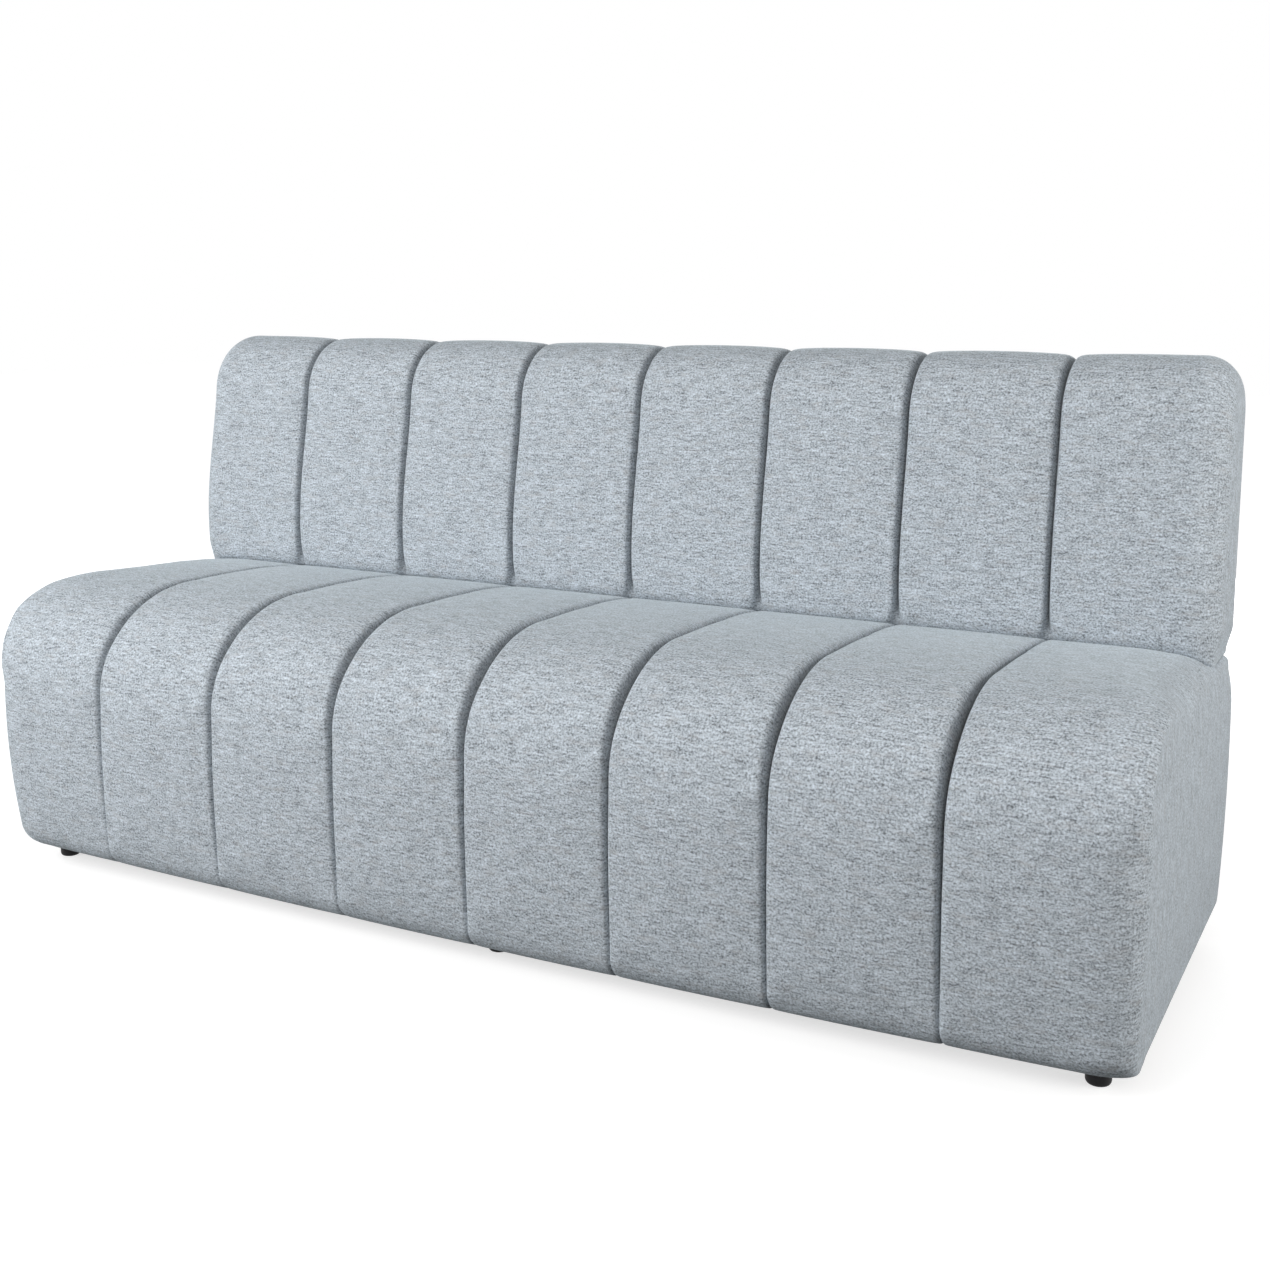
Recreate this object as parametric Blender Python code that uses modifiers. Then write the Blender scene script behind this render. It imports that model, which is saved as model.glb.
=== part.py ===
"""Armless dining sofa with a channel-sewn seat and back on a jointed plywood frame.

X runs along the sofa, +Y points to its rear and +Z points up. The origin lies on the floor, below the
centre of the overall box. The sofa is drawn from its front seams, at Y 0 of the empty that carries it.
"""
import math
from collections import namedtuple

import bmesh
import bpy
from mathutils import Vector

# Clearance between two pieces that touch
CLEARANCE = 0.0003

# Channels: count, spacing of the sewn lines, and how far each channel swells above those lines
CHANNEL_COUNT = 8
CHANNEL_PITCH = 0.225
FRONT_CROWN = 0.014
ROLL_CROWN = 0.020
DECK_CROWN = 0.010
RAKE_CROWN = 0.006
TOP_CROWN = 0.006

# Seat block, measured on its sewn lines
SEAT_HEIGHT = 0.454
SITTING_DEPTH = 0.4855
GROUND_GAP = 0.040
SEAT_OVERHANG = 0.010
SEAT_FALL = 0.014
REAR_LEDGE = 0.012
FRONT_ROLL_DEPTH = 0.200
FRONT_ROLL_HEIGHT = 0.145
BOTTOM_ROLL = 0.030
REAR_EDGE = 0.018
REAR_HEM_EDGE = 0.008
SEAT_END_ROLL = 0.055
SEAT_END_PULL = 0.018
BOTTOM_END_ROLL = 0.007

# Back slab, measured in its own leaning frame
BACK_LEAN = math.radians(6.5)
BACK_HEIGHT = 0.415
BACK_THICKNESS = 0.150
BACK_OVERHANG = 0.008
BACK_END_ROLL = 0.038
TOP_ROLL_HEIGHT = 0.100
TOP_REAR_ROLL = 0.050
FOOT_ROLL_DEPTH = 0.016
FOOT_ROLL_HEIGHT = 0.045
LUMBAR = 0.008

# Cover and padding
COVER_PAD = 0.015
END_PAD = 0.020
REAR_PAD = 0.008
HEM = 0.005
HEM_LAP = 0.007
SEAT_FRONT_FOAM = 0.030
SEAT_END_FOAM = 0.012
END_FOAM_INSET = 0.025
FOAM_ROLL = 0.026
BACK_FOAM = 0.040
BACK_TOP_FOAM = 0.040
DUST_CLOTH = 0.0012

# Base frame
BOARD = 0.018
RIB_POSITION = 0.300
RIB_SCOOP = 0.060
TAB_HEIGHT = 0.050
TAB_MARGIN = 0.030
RAIL = 0.045
STRAP_WIDTH = 0.070
STRAP = 0.002
BLOCK = 0.060
BLOCK_HEIGHT = 0.045

# Back frame
POST_WIDTH = 0.045
POST_LEG = 0.040
BACK_RAIL = 0.022
BACK_RAIL_HEIGHT = 0.060
FACE_PANEL = 0.004
REAR_PANEL = 0.003
BOLT_MARGIN = 0.028
BOLT_RADIUS = 0.004
BOLT_HEAD_RADIUS = 0.0075
BOLT_HEAD = 0.005

# Feet and their screws
FOOT_END_EDGE = 0.010
FOOT_BOARD_EDGE = 0.020
FOOT_RADIUS = 0.019
FOOT_WAIST = 0.0160
FOOT_FLANGE = 0.006
FOOT_SOLE = 0.0115
FOOT_ROUND = 0.008
FOOT_SHELF = 0.014
HEAD_POCKET = 0.0070
SCREW_RADIUS = 0.0025
SCREW_HEAD_RADIUS = 0.0060
SCREW_HEAD = 0.004
SCREW_LENGTH = 0.052
SCREW_POINT = 0.006
DUST_HOLE_MARGIN = 0.001

# How finely curved outlines are divided
ROLL_STEPS = 6
EDGE_STEPS = 3
HOLE_STEPS = 12
FOOT_STEPS = 16
SHOULDERS = (0.05, 0.19, 0.5, 0.81, 0.95)

# Share of an edge's own radius that the roll round the sofa's ends may take
EDGE_SHARE = 0.7

# Highest value of share * (1 - share) ** 2, which sets where the back's lumbar swell peaks
LUMBAR_PEAK = 4 / 27

# Overreach of a cutter past the face that it opens
OVERCUT = 0.010

# Levels and faces that follow from the sizes above
LEAN_COS = math.cos(BACK_LEAN)
LEAN_SIN = math.sin(BACK_LEAN)
LEAN_SLOPE = math.tan(BACK_LEAN)
HALF_RUN = CHANNEL_COUNT * CHANNEL_PITCH / 2

DECK = SEAT_HEIGHT - FRONT_ROLL_HEIGHT
SEAT_REAR = SITTING_DEPTH + BACK_THICKNESS * LEAN_COS + REAR_LEDGE
RAKE_START = SITTING_DEPTH - SEAT_FALL / LEAN_SLOPE
BACK_FOOT = SEAT_HEIGHT - SEAT_FALL

FRAME_BOTTOM = GROUND_GAP + HEM
HOLLOW_HALF = HALF_RUN + SEAT_OVERHANG - END_PAD
FRAME_HALF = HOLLOW_HALF - SEAT_END_FOAM - 2 * CLEARANCE
INNER_HALF = FRAME_HALF - BOARD - CLEARANCE
FRONT_OUTER = COVER_PAD + SEAT_FRONT_FOAM + 2 * CLEARANCE
FRONT_INNER = FRONT_OUTER + BOARD
REAR_OUTER = SEAT_REAR - REAR_PAD - CLEARANCE
REAR_INNER = REAR_OUTER - BOARD
RAIL_TOP = DECK - STRAP - 2 * CLEARANCE
RAIL_BOTTOM = RAIL_TOP - RAIL
LEG_REAR = REAR_INNER - CLEARANCE
LEG_FRONT = LEG_REAR - POST_LEG
LEG_BOTTOM = FRAME_BOTTOM + BLOCK_HEIGHT + CLEARANCE
REAR_RAIL_REAR = LEG_FRONT - CLEARANCE
REAR_RAIL_FRONT = REAR_RAIL_REAR - RAIL
FRONT_RAIL_FRONT = FRONT_INNER + CLEARANCE
FRONT_RAIL_REAR = FRONT_RAIL_FRONT + RAIL

BACK_HOLLOW_HALF = HALF_RUN + BACK_OVERHANG - END_PAD
TOP_ROLL_DEPTH = BACK_THICKNESS - TOP_REAR_ROLL
PANEL_FRONT = COVER_PAD + BACK_FOAM + 2 * CLEARANCE
POST_FRONT = PANEL_FRONT + FACE_PANEL + CLEARANCE
POST_REAR = BACK_THICKNESS - REAR_PAD - REAR_PANEL - 2 * CLEARANCE
BACK_FRAME_BOTTOM = HEM + CLEARANCE
BACK_FRAME_TOP = BACK_HEIGHT - COVER_PAD - BACK_TOP_FOAM - 2 * CLEARANCE

LOWER_TAB = (FRAME_BOTTOM + TAB_MARGIN, FRAME_BOTTOM + TAB_MARGIN + TAB_HEIGHT)
UPPER_TAB = (RAIL_BOTTOM - TAB_MARGIN - TAB_HEIGHT, RAIL_BOTTOM - TAB_MARGIN)
TABS = (LOWER_TAB, UPPER_TAB)
POST_CENTRES = (-(INNER_HALF - POST_WIDTH / 2),
                -(RIB_POSITION + BOARD / 2 + CLEARANCE + POST_WIDTH / 2),
                RIB_POSITION + BOARD / 2 + CLEARANCE + POST_WIDTH / 2,
                INNER_HALF - POST_WIDTH / 2)
BOLT_LEVELS = (LEG_BOTTOM + BOLT_MARGIN, RAIL_BOTTOM - BOLT_MARGIN)

RingPoint = namedtuple("RingPoint", "y z normal_y normal_z crown inset_y inset_z pull", defaults=(0.0,))
Station = namedtuple("Station", "x swell roll end")


def lerp(start, end, share):
    return start + (end - start) * share


def ellipse(centre, radii, start, end, steps):
    """Points of an ellipse's arc, as (y, z, normal_y, normal_z), from one angle in degrees to another."""
    points = []
    for step in range(steps + 1):
        angle = math.radians(lerp(start, end, step / steps))
        across, up = math.cos(angle), math.sin(angle)
        normal = Vector((across / radii[0], up / radii[1])).normalized()
        points.append((centre[0] + radii[0] * across, centre[1] + radii[1] * up, normal.x, normal.y))
    return points


def arc_outline(centre, radii, start, end, steps=ROLL_STEPS):
    return [(y, z) for y, z, _, _ in ellipse(centre, radii, start, end, steps)]


def circle_outline(centre, radius, steps=HOLE_STEPS):
    return arc_outline(centre, (radius, radius), 0, 360 * (steps - 1) / steps, steps - 1)


def rectangle(low, high):
    return [(low[0], low[1]), (high[0], low[1]), (high[0], high[1]), (low[0], high[1])]


def lean_to_upright(across, up):
    """The upright (y, z) of a point given in the back's leaning frame."""
    return (SITTING_DEPTH + across * LEAN_COS + up * LEAN_SIN,
            BACK_FOOT + CLEARANCE - across * LEAN_SIN + up * LEAN_COS)


def deck_level(y, depth=0.0):
    """Height of the seat's sewn lines at y, or of the level a given depth under them."""
    fall = max(0.0, y - RAKE_START) * LEAN_SLOPE
    return SEAT_HEIGHT - fall - depth


def clear_scene():
    for scene_object in list(bpy.data.objects):
        bpy.data.objects.remove(scene_object, do_unlink=True)


def make_collection(name):
    collection = bpy.data.collections.new(name)
    bpy.context.scene.collection.children.link(collection)
    return collection


def make_empty(name, parent=None):
    empty = bpy.data.objects.new(name, None)
    PARTS.objects.link(empty)
    empty.parent = parent
    return empty


def make_material(name, colour, roughness, metallic=0.0):
    material = bpy.data.materials.new(name)
    material.use_nodes = True
    shader = material.node_tree.nodes["Principled BSDF"]
    shader.inputs["Base Color"].default_value = (*colour, 1.0)
    shader.inputs["Roughness"].default_value = roughness
    shader.inputs["Metallic"].default_value = metallic
    return material


def add_object(name, data, collection, parent, material=None):
    new_object = bpy.data.objects.new(name, data)
    collection.objects.link(new_object)
    new_object.parent = parent
    if material:
        data.materials.append(material)
    return new_object


def as_cutter(cutter):
    cutter.hide_render = True
    cutter.display_type = "WIRE"
    return cutter


def cut(piece, cutter):
    modifier = piece.modifiers.new("cut by " + cutter.name, "BOOLEAN")
    modifier.operation = "DIFFERENCE"
    modifier.solver = "EXACT"
    modifier.object = cutter


def box(name, low, high, parent, material=None, collection=None):
    """A box between two opposite corners, from a unit cube."""
    mesh = bpy.data.meshes.new(name)
    form = bmesh.new()
    bmesh.ops.create_cube(form, size=1.0)
    size = [b - a for a, b in zip(low, high)]
    bmesh.ops.scale(form, vec=size, verts=form.verts)
    form.to_mesh(mesh)
    form.free()
    new_object = add_object(name, mesh, collection or PARTS, parent, material)
    new_object.location = [(a + b) / 2 for a, b in zip(low, high)]
    return new_object


TURNS = {"X": (math.pi / 2, 0.0, math.pi / 2), "Y": (math.pi / 2, 0.0, 0.0), "Z": (0.0, 0.0, 0.0)}
AXES = {"X": Vector((1, 0, 0)), "Y": Vector((0, 1, 0)), "Z": Vector((0, 0, 1))}


def plate(name, outlines, axis, low, high, parent, material=None, collection=None):
    """A flat piece: outlines filled and extruded along an axis, from one level to another.

    The first outline is the edge and the others are holes. Outlines across X are (y, z), across Y (x, z)
    and across Z (x, y).
    """
    curve = bpy.data.curves.new(name, "CURVE")
    curve.dimensions = "2D"
    curve.fill_mode = "BOTH"
    curve.extrude = (high - low) / 2
    for outline in outlines:
        spline = curve.splines.new("POLY")
        spline.points.add(len(outline) - 1)
        spline.use_cyclic_u = True
        for point, place in zip(spline.points, outline):
            point.co = (place[0], place[1], 0.0, 1.0)
    new_object = add_object(name, curve, collection or PARTS, parent, material)
    new_object.rotation_euler = TURNS[axis]
    new_object.location = AXES[axis] * (low + high) / 2
    return new_object


def plate_as_mesh(flat):
    """The same plate as a welded mesh, which can be cut or can cut."""
    bpy.context.view_layer.update()
    evaluated = flat.evaluated_get(bpy.context.evaluated_depsgraph_get())
    mesh = bpy.data.meshes.new_from_object(evaluated)
    form = bmesh.new()
    form.from_mesh(mesh)
    bmesh.ops.remove_doubles(form, verts=form.verts, dist=CLEARANCE / 10)
    bmesh.ops.recalc_face_normals(form, faces=form.faces)
    form.to_mesh(mesh)
    form.free()
    name = flat.name
    solid = bpy.data.objects.new(name, mesh)
    for collection in flat.users_collection:
        collection.objects.link(solid)
    solid.parent = flat.parent
    solid.matrix_basis = flat.matrix_basis
    bpy.data.objects.remove(flat, do_unlink=True)
    solid.name = name
    return solid


def turned(name, profile, steps, closed, parent, material):
    """A round piece: a profile of (radius, height), down its outer side, turned about Z."""
    mesh = bpy.data.meshes.new(name)
    count = len(profile)
    edges = [(index, index + 1) for index in range(count - 1)]
    if closed:
        edges.append((count - 1, 0))
    mesh.from_pydata([(radius, 0.0, height) for radius, height in profile], edges, [])
    new_object = add_object(name, mesh, PARTS, parent, material)
    screw = new_object.modifiers.new("turn", "SCREW")
    screw.steps = steps
    screw.render_steps = steps
    screw.use_merge_vertices = True
    screw.merge_threshold = CLEARANCE / 10
    return new_object


# The channelled covers


def swell(share):
    """Height of a channel's crown, 0 to 1, at a share of the way from one sewn line to the next."""
    across = 2 * share - 1
    return math.sqrt(max(0.0, 1 - across ** 4))


def stations(overhang, end_roll):
    """Cross sections along the sofa: place, swell of the channel, share of the end roll, 1 if at an end."""
    half = HALF_RUN + overhang
    turn = []
    for step in range(EDGE_STEPS + 1):
        angle = math.radians(90 * step / EDGE_STEPS)
        turn.append((half - end_roll + end_roll * math.sin(angle), 1 - math.cos(angle)))
    line = [Station(-x, 1.0, roll, 1) for x, roll in reversed(turn)]
    for channel in range(CHANNEL_COUNT):
        start = channel * CHANNEL_PITCH - HALF_RUN
        first = channel == 0
        last = channel == CHANNEL_COUNT - 1
        if not first:
            line.append(Station(start, 0.0, 0.0, 0))
        for share in SHOULDERS:
            outer = (first and share < 0.5) or (last and share > 0.5)
            if not outer:
                line.append(Station(start + share * CHANNEL_PITCH, swell(share), 0.0, 0))
    line.extend(Station(x, 1.0, roll, 1) for x, roll in turn)
    return line


def loft(name, ring, line, parent, material):
    """A closed solid through one ring of points at each station, swollen and rolled as it says."""
    form = bmesh.new()
    rings = []
    for station in line:
        verts = []
        for point in ring:
            out = point.crown * station.swell
            y = point.y + point.normal_y * out + point.inset_y * station.roll
            z = point.z + point.normal_z * out + point.inset_z * station.roll
            x = station.x - math.copysign(point.pull, station.x) * station.end
            verts.append(form.verts.new((x, y, z)))
        rings.append(verts)
    count = len(ring)
    for near, far in zip(rings, rings[1:]):
        for index in range(count):
            after = (index + 1) % count
            form.faces.new((near[index], near[after], far[after], far[index]))
    form.faces.new(rings[0])
    form.faces.new(rings[-1])
    bmesh.ops.recalc_face_normals(form, faces=form.faces)
    bmesh.ops.triangulate(form, faces=form.faces)
    mesh = bpy.data.meshes.new(name)
    form.to_mesh(mesh)
    form.free()
    return add_object(name, mesh, PARTS, parent, material)


def rolled_point(arc, centre, radii, crown, draw):
    """A ring point on a rolled edge, which the sofa's ends draw in towards the centre of the roll."""
    inset_y = -draw[0] * (arc[0] - centre[0]) / radii[0]
    inset_z = -draw[1] * (arc[1] - centre[1]) / radii[1]
    return RingPoint(*arc, crown, inset_y, inset_z)


def seat_ring():
    """The seat's section on a sewn line: bottom edge, front, rolled front edge, deck, rake and rear.

    The ends are pulled in towards the bottom, where the cover is drawn tight under the frame.
    """
    rear_inset = EDGE_SHARE * REAR_EDGE
    ring = []

    centre = (BOTTOM_ROLL, GROUND_GAP + BOTTOM_ROLL)
    for step, arc in enumerate(ellipse(centre, (BOTTOM_ROLL, BOTTOM_ROLL), 270, 180, EDGE_STEPS)):
        crown = FRONT_CROWN * step / EDGE_STEPS
        ring.append(RingPoint(*arc, crown, SEAT_END_ROLL, BOTTOM_END_ROLL, end_pull(arc[1])))

    middle = lerp(GROUND_GAP + BOTTOM_ROLL, DECK, 0.5)
    ring.append(RingPoint(0.0, middle, -1.0, 0.0, FRONT_CROWN, SEAT_END_ROLL, 0.0, end_pull(middle)))

    centre = (FRONT_ROLL_DEPTH, DECK)
    radii = (FRONT_ROLL_DEPTH, FRONT_ROLL_HEIGHT)
    for step, arc in enumerate(ellipse(centre, radii, 180, 90, ROLL_STEPS)):
        share = step / ROLL_STEPS
        crown = lerp(FRONT_CROWN, DECK_CROWN, share)
        crown += (ROLL_CROWN - lerp(FRONT_CROWN, DECK_CROWN, 0.5)) * math.sin(math.pi * share)
        ring.append(rolled_point(arc, centre, radii, crown, (SEAT_END_ROLL, SEAT_END_ROLL)))

    ring.append(RingPoint(RAKE_START, SEAT_HEIGHT, 0.0, 1.0, RAKE_CROWN, 0.0, -SEAT_END_ROLL))
    ring.append(RingPoint(SITTING_DEPTH, BACK_FOOT, 0.0, 1.0, 0.0, 0.0, -SEAT_END_ROLL / 2))

    centre = (SEAT_REAR - REAR_EDGE, deck_level(SEAT_REAR - REAR_EDGE) - REAR_EDGE)
    for arc in ellipse(centre, (REAR_EDGE, REAR_EDGE), 90 - math.degrees(BACK_LEAN), 0, EDGE_STEPS):
        ring.append(RingPoint(*arc, 0.0, -rear_inset, -SEAT_END_ROLL / 2))
    hem_inset = EDGE_SHARE * REAR_HEM_EDGE
    centre = (SEAT_REAR - REAR_HEM_EDGE, GROUND_GAP + REAR_HEM_EDGE)
    for arc in ellipse(centre, (REAR_HEM_EDGE, REAR_HEM_EDGE), 0, -90, EDGE_STEPS):
        ring.append(RingPoint(*arc, 0.0, -hem_inset, BOTTOM_END_ROLL, end_pull(arc[1])))
    return ring


def end_pull(z):
    """How far the seat's ends are pulled in at height z: nothing at the deck, all of it at the bottom."""
    share = (DECK - z) / (DECK - GROUND_GAP)
    return SEAT_END_PULL * share ** 2


def back_ring():
    """The back's section on a sewn line, in its leaning frame: foot, lumbar swell, top and rear."""
    rear_inset = EDGE_SHARE * REAR_EDGE
    ring = []

    centre = (FOOT_ROLL_DEPTH, FOOT_ROLL_HEIGHT)
    for step, arc in enumerate(ellipse(centre, centre, 270, 180, EDGE_STEPS)):
        share = step / EDGE_STEPS
        ring.append(RingPoint(*arc, FRONT_CROWN * share, BACK_END_ROLL * share, 0.0))

    shoulder = BACK_HEIGHT - TOP_ROLL_HEIGHT
    for step in range(1, EDGE_STEPS + 1):
        share = step / (EDGE_STEPS + 1)
        bow = share * (1 - share) ** 2 / LUMBAR_PEAK
        height = lerp(FOOT_ROLL_HEIGHT, shoulder, share)
        ring.append(RingPoint(-LUMBAR * bow, height, -1.0, 0.0, FRONT_CROWN, BACK_END_ROLL, 0.0))

    centre = (TOP_ROLL_DEPTH, shoulder)
    radii = (TOP_ROLL_DEPTH, TOP_ROLL_HEIGHT)
    for step, arc in enumerate(ellipse(centre, radii, 180, 90, ROLL_STEPS)):
        share = step / ROLL_STEPS
        crown = lerp(FRONT_CROWN, TOP_CROWN, share)
        crown += (ROLL_CROWN - lerp(FRONT_CROWN, TOP_CROWN, 0.5)) * math.sin(math.pi * share) / 2
        ring.append(rolled_point(arc, centre, radii, crown, (BACK_END_ROLL, BACK_END_ROLL)))

    centre = (TOP_ROLL_DEPTH, BACK_HEIGHT - TOP_REAR_ROLL)
    radii = (TOP_REAR_ROLL, TOP_REAR_ROLL)
    for step, arc in enumerate(ellipse(centre, radii, 90, 0, EDGE_STEPS + 1)[1:], start=1):
        crown = TOP_CROWN * (1 - step / (EDGE_STEPS + 1))
        ring.append(rolled_point(arc, centre, radii, crown, (rear_inset, BACK_END_ROLL)))

    hem_inset = EDGE_SHARE * REAR_HEM_EDGE
    centre = (BACK_THICKNESS - REAR_HEM_EDGE, REAR_HEM_EDGE)
    for arc in ellipse(centre, (REAR_HEM_EDGE, REAR_HEM_EDGE), 0, -90, EDGE_STEPS):
        ring.append(RingPoint(*arc, 0.0, -hem_inset, 0.0))
    return ring


def middle_of_depth():
    """Y halfway between the foremost channel crown and the rearmost point of the back."""
    front = min(point.y + point.normal_y * point.crown for point in seat_ring())
    crowned = [(point.y + point.normal_y * point.crown, point.z + point.normal_z * point.crown)
               for point in back_ring()]
    rear = max(lean_to_upright(*point)[0] for point in crowned)
    return (front + rear) / 2


def seat_hollow(inset):
    """Outline of the space inside the seat cover, across X, drawn in by an inset."""
    front = COVER_PAD + inset
    bottom = FRAME_BOTTOM + inset
    rear = SEAT_REAR - REAR_PAD - inset
    pad = COVER_PAD + inset
    outline = arc_outline((front + FOAM_ROLL, bottom + FOAM_ROLL), (FOAM_ROLL, FOAM_ROLL), 270, 180)
    outline += front_roll(pad)
    outline.append((RAKE_START, deck_level(RAKE_START, pad)))
    outline.append((rear, deck_level(rear, pad)))
    outline.append((rear, bottom))
    return outline


def front_roll(pad):
    """The rolled front edge of the seat, a given depth under its sewn lines."""
    return arc_outline((FRONT_ROLL_DEPTH, DECK), (FRONT_ROLL_DEPTH - pad, FRONT_ROLL_HEIGHT - pad), 180, 90)


def back_hollow(inset):
    """Outline of the space inside the back cover, across X, drawn in by an inset."""
    pad = COVER_PAD + inset
    rear = BACK_THICKNESS - REAR_PAD - inset
    bottom = HEM + inset
    shoulder = BACK_HEIGHT - TOP_ROLL_HEIGHT
    outline = [(rear, bottom), (pad, bottom)]
    top_radii = (TOP_ROLL_DEPTH - pad, TOP_ROLL_HEIGHT - pad)
    outline += arc_outline((TOP_ROLL_DEPTH, shoulder), top_radii, 180, 90)
    rear_radii = (rear - TOP_ROLL_DEPTH, TOP_REAR_ROLL - pad)
    rear_centre = (TOP_ROLL_DEPTH, BACK_HEIGHT - TOP_REAR_ROLL)
    outline += arc_outline(rear_centre, rear_radii, 90, 0, EDGE_STEPS)[1:]
    return outline


def hollow_cutter(name, outline, half, parent):
    return as_cutter(plate_as_mesh(plate(name, [outline], "X", -half, half, parent, collection=CUTTERS)))


def make_seat_cover():
    cover = loft("seat_cover", seat_ring(), stations(SEAT_OVERHANG, SEAT_END_ROLL), SOFA, FABRIC)
    cut(cover, hollow_cutter("seat_hollow", seat_hollow(0.0), FRAME_HALF + CLEARANCE, SOFA))
    cut(cover, hollow_cutter("seat_end_hollow", seat_hollow(END_FOAM_INSET), HOLLOW_HALF, SOFA))
    opening = box("seat_hem_opening",
                  (-(FRAME_HALF - HEM_LAP), FRONT_OUTER + HEM_LAP, GROUND_GAP - OVERCUT),
                  (FRAME_HALF - HEM_LAP, REAR_OUTER - HEM_LAP, FRAME_BOTTOM + OVERCUT),
                  SOFA, collection=CUTTERS)
    cut(cover, as_cutter(opening))
    for number, centre in enumerate(POST_CENTRES, start=1):
        reach = POST_WIDTH / 2 + CLEARANCE
        slot = box(f"seat_post_slot_{number}",
                   (centre - reach, LEG_FRONT - CLEARANCE, deck_level(LEG_REAR, COVER_PAD + OVERCUT)),
                   (centre + reach, LEG_REAR + CLEARANCE, deck_level(LEG_FRONT) + OVERCUT),
                   SOFA, collection=CUTTERS)
        cut(cover, as_cutter(slot))


def make_back_cover():
    cover = loft("back_cover", back_ring(), stations(BACK_OVERHANG, BACK_END_ROLL), BACK, FABRIC)
    cut(cover, hollow_cutter("back_hollow", back_hollow(0.0), BACK_HOLLOW_HALF, BACK))
    opening = box("back_hem_opening",
                  (-INNER_HALF, PANEL_FRONT + HEM_LAP, -OVERCUT),
                  (INNER_HALF, BACK_THICKNESS - REAR_PAD - CLEARANCE, HEM + OVERCUT),
                  BACK, collection=CUTTERS)
    cut(cover, as_cutter(opening))


# Foam


def make_seat_foam():
    pad = COVER_PAD + CLEARANCE
    core = front_roll(pad)
    core.append((RAKE_START, deck_level(RAKE_START, pad)))
    core.append((REAR_RAIL_REAR, deck_level(REAR_RAIL_REAR, pad)))
    core.append((REAR_RAIL_REAR, DECK))
    plate("seat_core_foam", [core], "X", -FRAME_HALF, FRAME_HALF, SOFA, FOAM)

    bottom = FRAME_BOTTOM + CLEARANCE
    face = arc_outline((pad + FOAM_ROLL, bottom + FOAM_ROLL), (FOAM_ROLL, FOAM_ROLL), 270, 180)
    face.append((pad, DECK - CLEARANCE))
    face.append((pad + SEAT_FRONT_FOAM, DECK - CLEARANCE))
    face.append((pad + SEAT_FRONT_FOAM, bottom))
    plate("seat_front_foam", [face], "X", -FRAME_HALF, FRAME_HALF, SOFA, FOAM)

    end = seat_hollow(END_FOAM_INSET + CLEARANCE)
    inner = FRAME_HALF + CLEARANCE
    outer = inner + SEAT_END_FOAM
    plate("seat_left_end_foam", [end], "X", -outer, -inner, SOFA, FOAM)
    plate("seat_right_end_foam", [end], "X", inner, outer, SOFA, FOAM)


def make_back_foam():
    """One foam cap over the front, top and ends of the back frame."""
    half = BACK_HOLLOW_HALF - CLEARANCE
    cap = plate_as_mesh(plate("back_core_foam", [back_hollow(CLEARANCE)], "X", -half, half, BACK, FOAM))
    reach = INNER_HALF + CLEARANCE
    room = box("back_frame_room", (-reach, PANEL_FRONT - CLEARANCE, -OVERCUT),
               (reach, BACK_THICKNESS + OVERCUT, BACK_FRAME_TOP + CLEARANCE), BACK, collection=CUTTERS)
    cut(cap, as_cutter(room))


# The base frame: boards with through tabs, ribs, webbing rails, straps and foot blocks


def tabbed_edge(edge, reach):
    """Points up an edge at y with both tabs standing out by a signed reach."""
    points = []
    for low, high in TABS:
        points += [(edge, low), (edge + reach, low), (edge + reach, high), (edge, high)]
    return points


def make_cross_board(name, outer, top, rib_slots, bolt_holes):
    """A long board across Y: finger notches at its ends for the end boards, slots for the ribs' tabs."""
    notch = FRAME_HALF - BOARD - CLEARANCE
    right = []
    for low, high in TABS:
        low -= CLEARANCE
        high += CLEARANCE
        right += [(FRAME_HALF, low), (notch, low), (notch, high), (FRAME_HALF, high)]
    right = [(FRAME_HALF, FRAME_BOTTOM)] + right + [(FRAME_HALF, top)]
    left = [(-x, z) for x, z in reversed(right)]
    holes = []
    reach = BOARD / 2 + CLEARANCE
    for centre in rib_slots:
        for low, high in TABS:
            holes.append(rectangle((centre - reach, low - CLEARANCE), (centre + reach, high + CLEARANCE)))
    for centre in bolt_holes:
        for level in BOLT_LEVELS:
            holes.append(circle_outline((centre, level), BOLT_RADIUS + CLEARANCE))
    plate(name, [right + left] + holes, "Y", outer, outer + BOARD, SOFA, PLYWOOD)


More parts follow.
